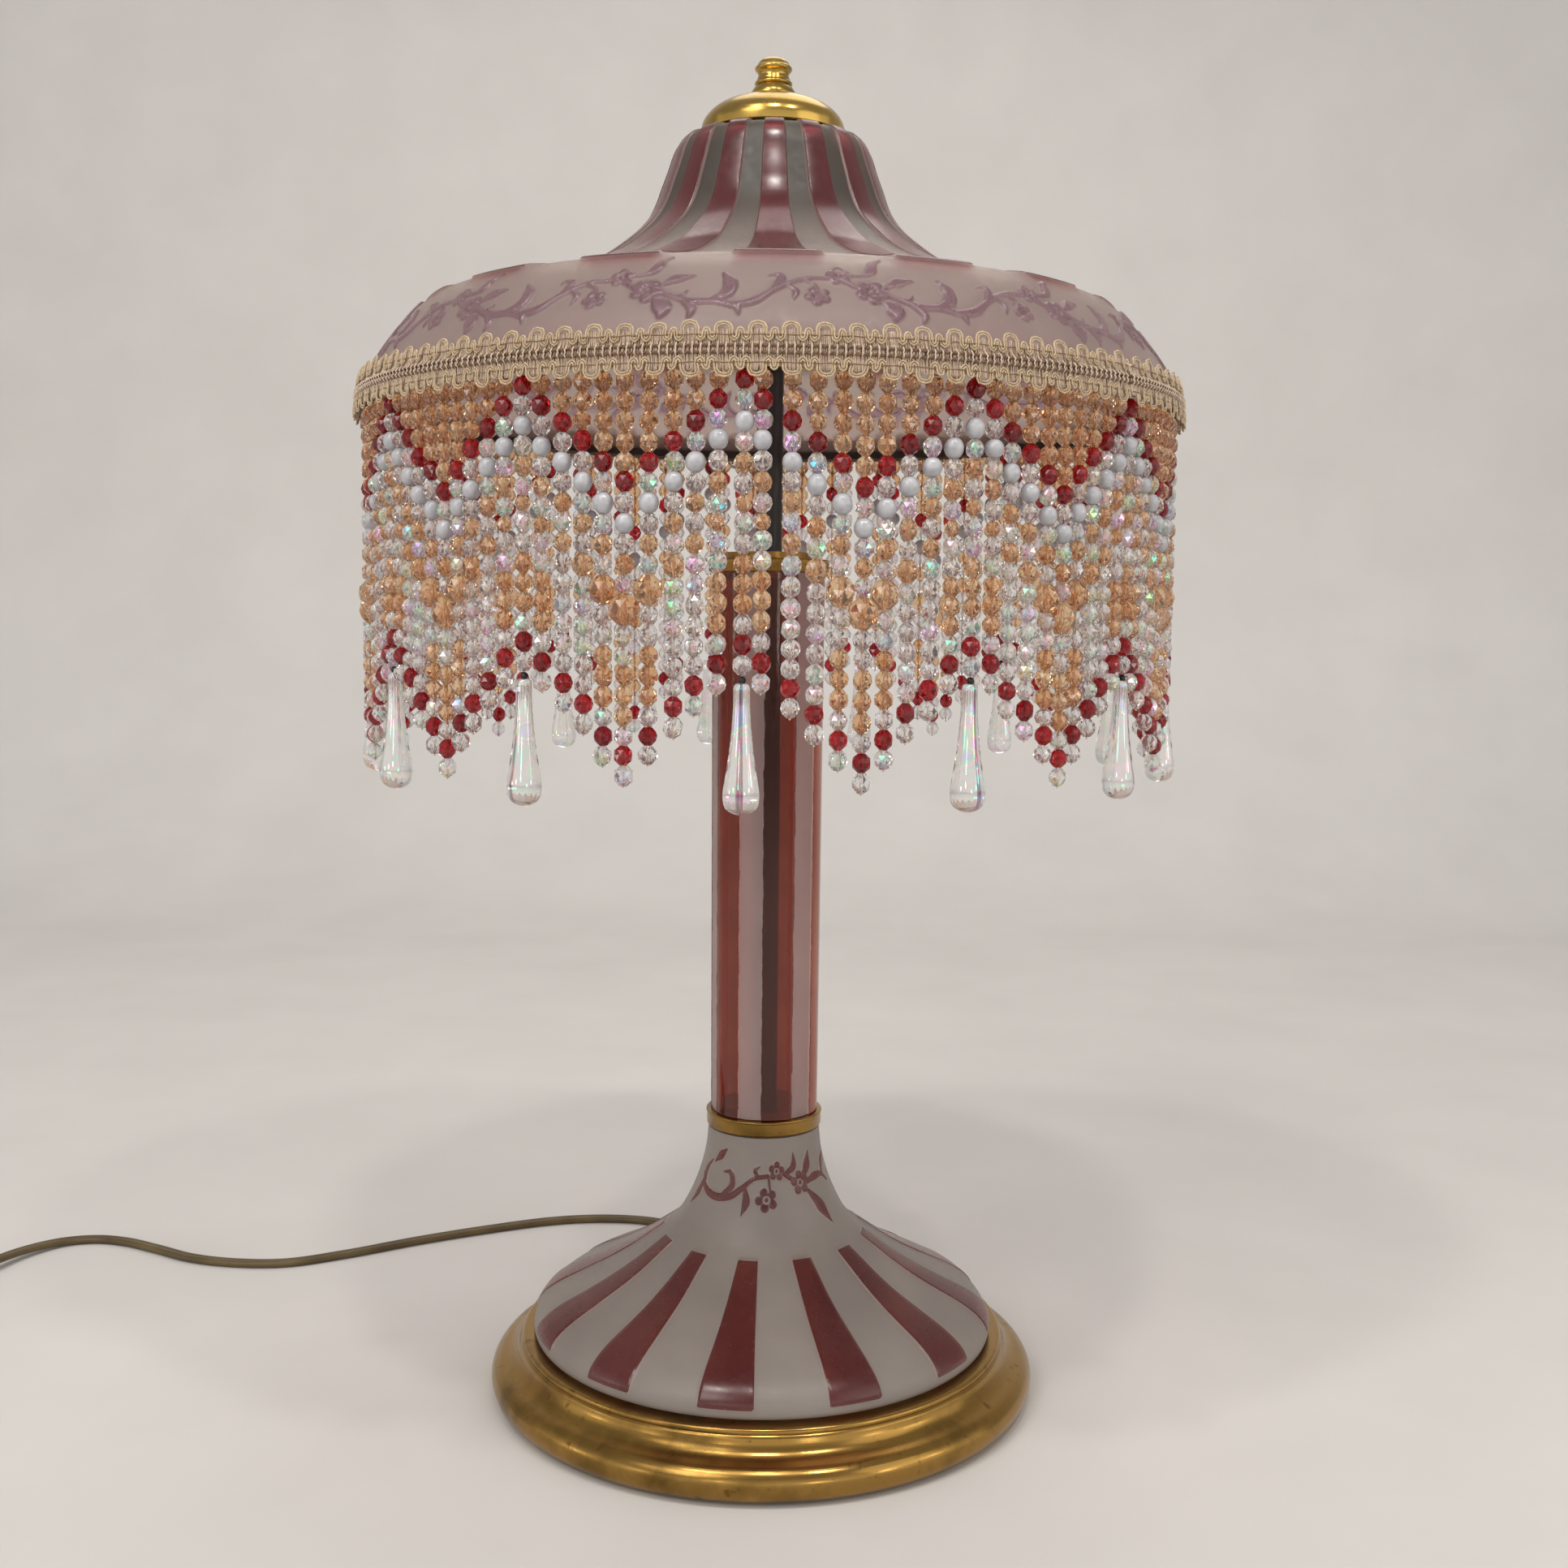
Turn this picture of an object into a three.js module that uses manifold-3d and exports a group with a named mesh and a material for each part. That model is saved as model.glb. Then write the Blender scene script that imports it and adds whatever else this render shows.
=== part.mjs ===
// Table lamp with a frosted cameo-glass base, column and shade, brass fittings, a gimp braid
// and a hanging fringe of glass beads with crystal drops. Millimetres, +Z up. The origin is the
// centre of the felt underside, the front of the lamp faces -Y, and the mains cord leaves at the back.

import * as THREE from 'three';
import { mergeVertices } from 'three/addons/utils/BufferGeometryUtils.js';
import Module from 'manifold-3d';

const wasm = await Module();
wasm.setup();

// ---- Driving dimensions ----------------------------------------------------------------------

const GAP = 0.3; // clearance between touching pieces
const ROUND = 36; // facets round a large turned piece
const FINE = 24; // facets round a small turned piece

const FELT = { radius: 99, thickness: 2 };
const BASE = {
  rollCentre: [99.1, 7],
  rollRadius: 6.8,
  wall: 1.4,
  deckZ: 22.7, // flat deck that carries the base glass
};
const PIPE = { outer: 5, bore: 3.4, bottom: 8.5, top: 399.5 };
const PIPE_BORE = PIPE.outer + GAP; // hole in whatever the pipe passes through
const BALLAST = { radius: 90, bottom: 13.6, thickness: 7 };

const COLLAR_LOW = { radius: 22.6, bottom: 103.2, top: 109.1 };
const COLLAR_HIGH = { radius: 23.1, bottom: 316.9, top: 321.8 };
const COLUMN = { bottomRadius: 20.8, topRadius: 21.5, wall: 2.6 };
const REGISTER = { radius: 17.2, height: 2.5 }; // bosses that centre the glass on the collars
const GLASS_WALL = 3.2;

const SADDLE = { z: 393, thickness: 1.8, width: 9, reach: 24, postRadius: 1.6, postTop: 400.5 };
const HARP_WIRE = 1.6;
const HARP_TOP = 468;
const STUD = { radius: 3, top: 499 };
const SEAT = { radius: 19, bottom: 472, thickness: 1.5 };
const SOCKET = { radius: 13.4, bottom: 395.2, top: 420, knobZ: 405.6 };
const BULB = { baseRadius: 6, bottom: 410.2, collar: 424, tip: 464, radius: 11 };

const SHADE_TOP = 477;
const SHADE_HOLE = 9;
const CAP = { radius: 26.6, rimZ: 477.4, neckRadius: 8, neckZ: 490.6 };
const FINIAL_Z = 491;

const BRAID = { topZ: 385, bottomZ: 370.3, thickness: 2.2 };

const FRINGE = {
  periods: 13, // scallops round the shade
  strands: 10, // bead strands in each scallop
  phase: -2.9, // direction of the first scallop peak, degrees from the front
  radius: 147.5, // circle on which the strands hang
  thickness: 5.8,
  topZ: 369.2,
  slit: 0.42, // space between neighbouring panels, in strands
};
const BEAD_PITCH = 6.03;
const FIRST_BEAD_Z = 369;
const DROP = { top: 280.2, length: 39.5, radius: 5.5 };

// ---- Helpers ---------------------------------------------------------------------------------

const lamp = new THREE.Group();
const rad = THREE.MathUtils.degToRad;
const v2 = (x, y) => new THREE.Vector2(x, y);
const v3 = (x, y, z) => new THREE.Vector3(x, y, z);

const finishes = {
  brass: { color: 0xa9822f, roughness: 0.3, metalness: 1 },
  steel: { color: 0x8d8f92, roughness: 0.4, metalness: 1 },
  blackPaint: { color: 0x141312, roughness: 0.45, metalness: 0.2 },
  iron: { color: 0x3b3a39, roughness: 0.8, metalness: 0.6 },
  felt: { color: 0x2c3a2c, roughness: 1, metalness: 0 },
  frosted: { color: 0x9a8a85, roughness: 0.55, metalness: 0 },
  cranberry: { color: 0x7d4249, roughness: 0.5, metalness: 0 },
  clearGlass: { color: 0xe6ecef, roughness: 0.05, metalness: 0 },
  phenolic: { color: 0x1d1a18, roughness: 0.5, metalness: 0 },
  cordBrown: { color: 0x4b3a1e, roughness: 0.5, metalness: 0 },
  braid: { color: 0xc0a183, roughness: 0.9, metalness: 0 },
  beads: { color: 0xc79b73, roughness: 0.1, metalness: 0 },
};

// Adds one named piece to the lamp, made of one finish.
function piece(name, geometry, finish) {
  const mesh = new THREE.Mesh(geometry, new THREE.MeshStandardMaterial(finishes[finish]));
  mesh.name = name;
  lamp.add(mesh);
  return mesh;
}

// Turns a profile of [radius, z] pairs about the lamp's axis. A profile that doesn't start and
// end on the axis is closed on itself.
function turned(profile, facets = ROUND) {
  const points = profile.map(([radius, z]) => v2(radius, z));
  const onAxis = profile[0][0] === 0 && profile.at(-1)[0] === 0;
  if (!onAxis) {
    points.push(points[0].clone());
  }
  return new THREE.LatheGeometry(points, facets).rotateX(Math.PI / 2);
}

// Points on a circular arc of a profile, from one angle to another in degrees.
function arc([cx, cz], radius, from, to, steps) {
  const points = [];
  for (let i = 0; i <= steps; i += 1) {
    const angle = rad(from + ((to - from) * i) / steps);
    points.push([cx + radius * Math.cos(angle), cz + radius * Math.sin(angle)]);
  }
  return points;
}

// Samples a smooth curve through profile points.
function smooth(points, samples) {
  const curve = new THREE.CatmullRomCurve3(points.map(([r, z]) => v3(r, z, 0)), false, 'centripetal');
  return curve.getSpacedPoints(samples).map((p) => [p.x, p.y]);
}

// The inner side of a shell: every third point of its outer profile moved inwards by the wall,
// in reverse order.
function innerSide(outer, wall) {
  return outer
    .map(([r, z], i) => {
      const [r0, z0] = outer[Math.max(i - 1, 0)];
      const [r1, z1] = outer[Math.min(i + 1, outer.length - 1)];
      const length = Math.hypot(r1 - r0, z1 - z0);
      return [r - (wall * (z1 - z0)) / length, z + (wall * (r1 - r0)) / length];
    })
    .filter((point, i) => i % 3 === 0)
    .reverse();
}

// A tube along a curve, with a section of a given half thickness and half width.
function tube(curve, halfThick, halfWide, sides, steps) {
  const section = new THREE.Shape();
  for (let i = 0; i < sides; i += 1) {
    const angle = (2 * Math.PI * (i + 0.5)) / sides;
    const x = halfThick * Math.cos(angle);
    const y = halfWide * Math.sin(angle);
    if (i === 0) {
      section.moveTo(x, y);
    } else {
      section.lineTo(x, y);
    }
  }
  return new THREE.ExtrudeGeometry(section, { steps, extrudePath: curve, bevelEnabled: false });
}

// A cylinder along the 'y' or the 'z' axis, centred on a point.
function cylinderAt(radius, length, axis, x, y, z, facets = 24) {
  const geometry = new THREE.CylinderGeometry(radius, radius, length, facets);
  if (axis === 'z') {
    geometry.rotateX(Math.PI / 2);
  }
  return geometry.translate(x, y, z);
}

// An upright cylinder on the lamp's axis, from one height to another.
function post(radius, bottom, top, facets = 24) {
  return cylinderAt(radius, top - bottom, 'z', 0, 0, (top + bottom) / 2, facets);
}

function toSolid(geometry) {
  const bare = geometry.clone();
  bare.deleteAttribute('normal');
  bare.deleteAttribute('uv');
  const merged = mergeVertices(bare, 1e-4);
  return new wasm.Manifold(
    new wasm.Mesh({
      numProp: 3,
      vertProperties: new Float32Array(merged.attributes.position.array),
      triVerts: new Uint32Array(merged.index.array),
    }),
  );
}

function fromSolid(solid) {
  const mesh = solid.getMesh();
  const geometry = new THREE.BufferGeometry();
  geometry.setAttribute('position', new THREE.BufferAttribute(mesh.vertProperties, 3));
  geometry.setIndex(new THREE.BufferAttribute(mesh.triVerts, 1));
  geometry.computeVertexNormals();
  return geometry;
}

const cut = (body, ...tools) => fromSolid(tools.reduce((s, t) => s.subtract(toSolid(t)), toSolid(body)));
const join = (body, ...more) => fromSolid(more.reduce((s, t) => s.add(toSolid(t)), toSolid(body)));

// ---- Cord route ------------------------------------------------------------------------------

const CORD = { thickness: 3, width: 5.5, layer: 3.4 };
const EXIT = {
  angle: 13, // degrees from straight back towards the left
  height: 6.5,
  start: 105.9, // distance of the brass wall's outside from the lamp's axis
  reach: 22, // length of the strain relief outside the wall
};
const COIL = { x: -394, y: 60, columns: [26.4, 32.2, 38, 43.8], clearance: 3.2 };
const backward = v3(-Math.sin(rad(EXIT.angle)), Math.cos(rad(EXIT.angle)), 0);
const reliefStart = backward.clone().multiplyScalar(EXIT.start).setZ(EXIT.height);
const cordStart = backward.clone().multiplyScalar(EXIT.start + EXIT.reach).setZ(EXIT.height);
// The cord's way over the surface, after the strain relief.
const CORD_ROUTE = [
  [-32.5, 140, 5.2],
  [-41, 157, 2.6],
  [-57, 168.5, 1.6],
  [-78, 171.5, 1.6],
  [-103, 168, 1.6],
  [-135, 155, 1.6],
  [-166, 139, 1.6],
  [-195, 121.5, 1.6],
  [-220, 110, 1.6],
  [-243, 109.5, 1.6],
  [-265, 115, 1.6],
  [-285, 126, 1.6],
  [-303, 135, 1.6],
  [-318, 138, 1.6],
  [-332, 133.5, 2.0],
  [-343, 120, 3.2],
  [-351, 100, 4.6],
  [-355.4, 80, 5.0],
  [-356, 60, 5.0],
];

// ---- Base ------------------------------------------------------------------------------------

function brassBase() {
  const skin = [
    ...arc(BASE.rollCentre, BASE.rollRadius, -75, 68, 7),
    [97.6, 14.8],
    [95.4, 17.2],
    ...arc([92.3, 21.2], 1.5, -20, 90, 3),
    [PIPE_BORE, BASE.deckZ],
  ];
  const under = [
    [PIPE_BORE, BASE.deckZ - BASE.wall],
    [90.4, BASE.deckZ - BASE.wall],
    [93.8, 16.4],
    [97.2, 13],
    ...arc(BASE.rollCentre, BASE.rollRadius - BASE.wall, 70, -60, 4),
  ];
  const hole = cylinderAt(4.6, 24, 'y', 0, 0, 0).rotateZ(rad(EXIT.angle));
  hole.translate(reliefStart.x, reliefStart.y, reliefStart.z);
  return cut(turned([...skin, ...under]), hole);
}

function cordRelief() {
  // A rubber grommet in the brass wall that tapers along the cord.
  const profile = [
    [0, -8],
    [3.2, -8],
    [4.2, -5],
    [4.2, 1],
    [5.6, 1.6],
    [5.6, 3.2],
    [4.4, 4.4],
    [3.3, EXIT.reach - GAP],
    [0, EXIT.reach - GAP],
  ];
  const geometry = turned(profile, 20).rotateX(-Math.PI / 2).rotateZ(rad(EXIT.angle));
  return geometry.translate(reliefStart.x, reliefStart.y, reliefStart.z);
}

function hexNut(radius, bore, bottom, height) {
  return cut(post(radius, bottom, bottom + height, 6), post(bore, bottom - 1, bottom + height + 1));
}

function washer(outer, bore, bottom, thickness, facets = FINE) {
  const top = bottom + thickness;
  return turned([[bore, bottom], [outer, bottom], [outer, top], [bore, top]], facets);
}

piece('felt_pad', post(FELT.radius, 0, FELT.thickness, ROUND), 'felt');
piece('brass_base', brassBase(), 'brass');
piece('ballast_weight', washer(BALLAST.radius, PIPE_BORE, BALLAST.bottom, BALLAST.thickness), 'iron');
piece('rod_washer', washer(11, PIPE_BORE, 12.2, 1.1), 'steel');
piece('rod_nut', hexNut(9, PIPE_BORE, 9, 2.9), 'steel');
piece('cord_relief', cordRelief(), 'phenolic');

// ---- Stem ------------------------------------------------------------------------------------

const baseGlassOuter = [
  [89.4, 23.2],
  ...smooth([[90.2, 26.6], [89, 30.4], [86, 33.6], [80, 37.2], [70, 42.2], [60, 47.4], [52, 52.2]], 7),
  ...smooth([[46, 56.4], [38.6, 61.8], [32.3, 68.8], [27.4, 78.7], [24.6, 87], [22.6, 96], [22, 102.6]], 7),
];

function baseGlass() {
  const inner = innerSide(baseGlassOuter, GLASS_WALL);
  inner[inner.length - 1] = [84.5, 23.2];
  inner[inner.length - 2] = [85.5, 26];
  inner[0][1] = 102.6;
  return turned([...baseGlassOuter, ...inner]);
}

function collar({ radius, bottom, top }) {
  return turned(
    [
      [PIPE_BORE, bottom - REGISTER.height],
      [REGISTER.radius, bottom - REGISTER.height],
      [REGISTER.radius, bottom],
      [radius - 0.8, bottom],
      [radius - 0.4, bottom + 0.5],
      [radius - 0.4, top - 1.5],
      [radius, top - 1],
      [radius, top - 0.3],
      [radius - 0.6, top],
      [REGISTER.radius, top],
      [REGISTER.radius, top + REGISTER.height],
      [PIPE_BORE, top + REGISTER.height],
    ],
    FINE,
  );
}

function columnGlass() {
  const bottom = COLLAR_LOW.top + GAP;
  const top = COLLAR_HIGH.bottom - GAP;
  const { bottomRadius, topRadius, wall } = COLUMN;
  return turned(
    [
      [bottomRadius, bottom],
      [topRadius, top],
      [topRadius - wall, top],
      [bottomRadius - wall, bottom],
    ],
    FINE,
  );
}

function innerLead() {
  // From the strain relief, under the ballast, and up the bore of the pipe to the socket.
  const route = [
    backward.clone().multiplyScalar(97).setZ(EXIT.height),
    backward.clone().multiplyScalar(80).setZ(5),
    backward.clone().multiplyScalar(50).setZ(4.2),
    backward.clone().multiplyScalar(24).setZ(4),
    backward.clone().multiplyScalar(8).setZ(4.2),
    backward.clone().multiplyScalar(2).setZ(5.8),
    v3(0, 0, 10),
    v3(0, 0, 20),
  ];
  const foot = tube(new THREE.CatmullRomCurve3(route, false, 'centripetal'), 1.5, 1.5, 6, 26);
  const bottom = 18;
  const top = 400.6;
  return join(foot, post(1.5, bottom, top, 12));
}

piece('base_glass', baseGlass(), 'frosted');
piece('lower_collar', collar(COLLAR_LOW), 'brass');
piece('column_glass', columnGlass(), 'cranberry');
piece('upper_collar', collar(COLLAR_HIGH), 'brass');
piece('center_pipe', washer(PIPE.outer, PIPE.bore, PIPE.bottom, PIPE.top - PIPE.bottom), 'blackPaint');
piece('inner_lead', innerLead(), 'cordBrown');

// ---- Socket, bulb and harp -------------------------------------------------------------------

function saddle() {
  const { z, thickness, width, reach, postRadius, postTop } = SADDLE;
  const middle = z + thickness / 2;
  const strip = new THREE.BoxGeometry(2 * reach + 7, width, thickness).translate(0, 0, middle);
  const posts = [-1, 1].map((side) => post(postRadius, middle, postTop, 16).translate(side * reach, 0, 0));
  return cut(join(strip, post(8, z, z + thickness), ...posts), post(PIPE_BORE, z - 5, z + 5));
}

function harp() {
  const leg = SADDLE.reach;
  const bow = [
    [-leg, 400.8],
    [-leg, 424],
    [-leg, 448],
    [-leg + 4, 459.5],
    [-leg + 13, 466.6],
    [0, HARP_TOP],
    [leg - 13, 466.6],
    [leg - 4, 459.5],
    [leg, 448],
    [leg, 424],
    [leg, 400.8],
  ];
  const curve = new THREE.CatmullRomCurve3(bow.map(([x, z]) => v3(x, 0, z)), false, 'centripetal');
  const boss = post(5, HARP_TOP, SEAT.bottom - GAP, 20);
  const stud = post(STUD.radius, HARP_TOP, STUD.top, 20);
  return join(tube(curve, HARP_WIRE, HARP_WIRE, 8, 30), boss, stud);
}

function ferrule(side) {
  const inner = SADDLE.postRadius + GAP;
  const bottom = SADDLE.z + SADDLE.thickness + GAP;
  const profile = [
    [inner, bottom],
    [inner + 1.6, bottom],
    [inner + 1.6, bottom + 7.4],
    [inner + 0.7, bottom + 11],
    [inner, bottom + 11],
  ];
  return turned(profile, 20).translate(side * SADDLE.reach, 0, 0);
}

function socketCap() {
  const outer = SOCKET.radius - 1.1;
  const bottom = SOCKET.bottom;
  const bore = PIPE_BORE;
  return turned(
    [
      [bore, bottom],
      [outer - 1.5, bottom],
      [outer, bottom + 1.5],
      [outer, bottom + 7],
      [outer - 0.8, bottom + 7],
      [outer - 0.8, bottom + 1.8],
      [outer - 1.8, bottom + 0.9],
      [bore, bottom + 0.9],
    ],
    FINE,
  );
}

function socketShell() {
  const { radius, bottom, top, knobZ } = SOCKET;
  const shell = turned(
    [
      [radius - 0.8, bottom + 1.8],
      [radius, bottom + 1.8],
      [radius, top - 1],
      [radius - 1, top],
      [9.6, top],
      [9.6, top - 0.8],
      [radius - 1.3, top - 0.8],
      [radius - 0.8, top - 1.3],
    ],
    FINE,
  );
  return cut(shell, cylinderAt(2.2, 10, 'y', 0, radius, knobZ, 16));
}

function socketBody() {
  const body = turned(
    [
      [0, 402.5],
      [12.2, 402.5],
      [12.2, 408.8],
      [8.9, 408.8],
      [8.9, 418.6],
      [6.5, 418.6],
      [6.5, 410],
      [0, 410],
    ],
    FINE,
  );
  return cut(body, cylinderAt(1.8, 14, 'y', 0, 10.4, SOCKET.knobZ, 16));
}

function switchKnob() {
  // A slim shaft from the switch inside the socket, with a fluted turn key outside.
  const shaftStart = 3.8;
  const keyStart = SOCKET.radius + 2;
  const profile = [
    [0, shaftStart],
    [1.5, shaftStart],
    [1.5, keyStart],
    [4.6, keyStart + 0.8],
    [4.6, keyStart + 4.6],
    [3.6, keyStart + 6],
    [0, keyStart + 6],
  ];
  const turnedKey = turned(profile, 20).rotateX(-Math.PI / 2).translate(0, 0, SOCKET.knobZ);
  const flats = [-1, 1].map((side) => {
    return new THREE.BoxGeometry(6, 8, 12).translate(side * 5.4, keyStart + 4.9, SOCKET.knobZ);
  });
  return cut(turnedKey, ...flats);
}

function bulbGlass() {
  const { collar: bottom, radius, tip } = BULB;
  const flame = [
    [6.6, bottom + 3],
    [9.6, bottom + 9],
    [radius, bottom + 18],
    [9.4, bottom + 28],
    [5.2, tip - 4.2],
  ];
  const outer = [[6.2, bottom + GAP], ...smooth(flame, 7), [2.4, tip - 0.9]];
  const inside = innerSide(outer, 0.8);
  inside[inside.length - 1] = [5.2, bottom + GAP];
  return turned([[0, tip - 1], ...inside, ...outer, [0, tip]], 16);
}

function bulbBase() {
  const { baseRadius, bottom, collar: top } = BULB;
  const thread = [];
  for (let z = bottom + 2.6; z < bottom + 9; z += 1.6) {
    thread.push([baseRadius - 0.5, z], [baseRadius, z + 0.8]);
  }
  const contact = [[0, bottom], [2.2, bottom], [3, bottom + 1.2]];
  return turned([...contact, ...thread, [baseRadius, top], [0, top]], 16);
}

piece('harp_saddle', saddle(), 'brass');
piece('harp', harp(), 'brass');
piece('harp_ferrule_left', ferrule(-1), 'brass');
piece('harp_ferrule_right', ferrule(1), 'brass');
piece('socket_cap', socketCap(), 'brass');
piece('socket_shell', socketShell(), 'brass');
piece('socket_body', socketBody(), 'phenolic');
piece('switch_knob', switchKnob(), 'phenolic');
piece('bulb_glass', bulbGlass(), 'clearGlass');
piece('bulb_base', bulbBase(), 'steel');

// ---- Shade -----------------------------------------------------------------------------------

const shadeSkin = [
  [149.8, 373],
  ...smooth([[149.6, 377], [148.2, 383.2], [145.4, 389], [142.7, 392.7], [136.7, 400.7], [130.6, 408]], 5),
  ...smooth([[125.6, 410.5], [112, 413], [96, 416.6], [80, 422.2], [66, 428.4], [56.3, 435.4]], 6),
  ...smooth([[50.3, 440.6], [46.4, 445.3], [43.1, 451.7], [41.2, 457], [38.6, 464], [36.9, 469.6]], 5),
  [35.3, 473],
  [32.7, 476],
  [29.4, SHADE_TOP],
  [SHADE_HOLE, SHADE_TOP],
];

function shadeGlass() {
  const inner = innerSide(shadeSkin, GLASS_WALL).slice(2, -1);
  const underTop = SHADE_TOP - GLASS_WALL;
  return turned([
    ...shadeSkin,
    [SHADE_HOLE, underTop],
    [27.4, underTop],
    [31, 472.6],
    ...inner,
    [146.6, 373],
  ]);
}

function shadeCap() {
  const { radius, rimZ, neckRadius, neckZ } = CAP;
  const bore = STUD.radius + GAP;
  const outer = [
    [radius - 0.6, rimZ],
    [radius, rimZ + 0.7],
    [radius, rimZ + 2.8],
    ...smooth([[radius - 0.8, rimZ + 5.1], [21.6, rimZ + 9.6], [15, rimZ + 12.4], [neckRadius, neckZ]], 5),
  ];
  const inner = [
    [bore, neckZ],
    [bore, neckZ - 1.2],
    [9, neckZ - 1.7],
    [16, rimZ + 10.3],
    [20.6, rimZ + 7.9],
    [radius - 2.6, rimZ + 4.4],
    [radius - 1.8, rimZ],
  ];
  return turned([...outer, ...inner], FINE);
}

function finial() {
  const bore = STUD.radius + GAP;
  const z = FINIAL_Z;
  return turned(
    [
      [bore, z],
      [7.6, z],
      [8, z + 0.8],
      [6.6, z + 2.2],
      [6, z + 3.6],
      [6.9, z + 4.8],
      [7.1, z + 5.8],
      [5.9, z + 7],
      [5.7, z + 8.2],
      [6.6, z + 9.4],
      [6.5, z + 11.6],
      [5.2, z + 13.8],
      [2.6, z + 14.8],
      [0, z + 15],
      [0, STUD.top + GAP],
      [bore, STUD.top + GAP],
    ],
    20,
  );
}

function braid() {
  const { topZ, bottomZ, thickness } = BRAID;
  const outer = [[152.4, bottomZ], [152.1, 375], [151, 381.5], [147.7 + thickness, topZ]];
  const inner = [[147.7, topZ], [148.7, 383], [149.95, 377.2], [150.1, bottomZ]];
  return turned([...outer, ...inner]);
}

piece('shade_seat', washer(SEAT.radius, STUD.radius + GAP, SEAT.bottom, SEAT.thickness), 'brass');
piece('shade_glass', shadeGlass(), 'frosted');
piece('shade_cap', shadeCap(), 'brass');
piece('finial', finial(), 'brass');
piece('braid', braid(), 'braid');

// ---- Fringe ----------------------------------------------------------------------------------

// Bottom of the strand that hangs k places from a scallop peak: strands grow longer away from it.
function strandEnd(k) {
  const beads = 15 + k;
  const oversize = [-1, -1, 0, 1, 3, 4][k];
  return FIRST_BEAD_Z - BEAD_PITCH * (beads - 0.5) - oversize;
}

// One scallop of ten strands as a curved curtain, centred on azimuth 0 (towards -Y), with a
// stepped lower edge. Strand -4 is its left edge and strand +5 its right edge.
function curtain() {
  const pitch = 360 / (FRINGE.periods * FRINGE.strands);
  const rings = [FRINGE.radius - FRINGE.thickness / 2, FRINGE.radius + FRINGE.thickness / 2];
  const positions = [];
  const index = [];
  const known = new Map();

  function corner(ring, strand, z) {
    const key = `${ring} ${strand} ${z}`;
    if (!known.has(key)) {
      const angle = rad(strand * pitch);
      known.set(key, positions.length / 3);
      positions.push(rings[ring] * Math.sin(angle), -rings[ring] * Math.cos(angle), z);
    }
    return known.get(key);
  }
  const quad = (a, b, c, d) => index.push(a, b, c, a, c, d);

  // A wall between the two rings at one strand position, facing left (-1) or right (+1).
  function wall(strand, low, high, facing) {
    const foot = [corner(0, strand, low), corner(1, strand, low)];
    const head = [corner(0, strand, high), corner(1, strand, high)];
    if (facing < 0) {
      quad(foot[0], foot[1], head[1], head[0]);
    } else {
      quad(foot[1], foot[0], head[0], head[1]);
    }
  }

  // One face of a column, zipped between the heights on its left and right sides.
  function face(ring, from, to, leftHeights, rightHeights) {
    let i = 0;
    let j = 0;
    while (i < leftHeights.length - 1 || j < rightHeights.length - 1) {
      const a = corner(ring, from, leftHeights[i]);
      const b = corner(ring, to, rightHeights[j]);
      const climbLeft = (leftHeights[i + 1] ?? Infinity) <= (rightHeights[j + 1] ?? Infinity);
      const c = climbLeft ? corner(ring, from, leftHeights[i + 1]) : corner(ring, to, rightHeights[j + 1]);
      i += climbLeft ? 1 : 0;
      j += climbLeft ? 0 : 1;
      if (ring === 1) {
        index.push(a, b, c);
      } else {
        index.push(a, c, b);
      }
    }
  }

  const top = FRINGE.topZ;
  const [first, last] = [-4, 5];
  for (let k = first; k <= last; k += 1) {
    const from = k === first ? k - 0.5 + FRINGE.slit / 2 : k - 0.5;
    const to = k === last ? k + 0.5 - FRINGE.slit / 2 : k + 0.5;
    const low = strandEnd(Math.abs(k));
    const leftLow = k === first ? top : strandEnd(Math.abs(k - 1));
    const rightLow = k === last ? top : strandEnd(Math.abs(k + 1));
    const leftHeights = leftLow > low && k !== first ? [low, leftLow, top] : [low, top];
    const rightHeights = rightLow > low && k !== last ? [low, rightLow, top] : [low, top];
    face(0, from, to, leftHeights, rightHeights);
    face(1, from, to, leftHeights, rightHeights);
    quad(corner(0, from, low), corner(0, to, low), corner(1, to, low), corner(1, from, low));
    quad(corner(0, from, top), corner(1, from, top), corner(1, to, top), corner(0, to, top));
    if (leftLow > low) {
      wall(from, low, leftLow, -1);
    }
    if (rightLow > low) {
      wall(to, low, rightLow, 1);
    }
  }
  const geometry = new THREE.BufferGeometry();
  geometry.setAttribute('position', new THREE.Float32BufferAttribute(positions, 3));
  geometry.setIndex(index);
  geometry.computeVertexNormals();
  return geometry;
}

function crystalDrop() {
  const { top, length, radius } = DROP;
  const low = top - length;
  const profile = [[0, low], [3, low + 1.2], [radius, low + 10], [2.6, low + 28], [2.1, top], [0, top]];
  return turned(profile, 8).translate(0, -FRINGE.radius, 0);
}

for (let i = 0; i < FRINGE.periods; i += 1) {
  const azimuth = rad(FRINGE.phase + (360 / FRINGE.periods) * i);
  const number = String(i + 1).padStart(2, '0');
  piece(`fringe_panel_${number}`, curtain(), 'beads').rotation.z = azimuth;
  piece(`drop_${number}`, crystalDrop(), 'clearGlass').rotation.z = azimuth;
}

// ---- Cord ------------------------------------------------------------------------------------

function coilRing(extra = 0) {
  const inner = COIL.columns[0] - COIL.clearance - extra;
  const outer = COIL.columns.at(-1) + COIL.clearance + extra;
  const top = 2 * CORD.layer + 0.1 + extra;
  const ring = turned([[inner, -extra], [outer, -extra], [outer, top], [inner, top]], 40);
  return ring.translate(COIL.x, COIL.y, 0);
}

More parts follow.
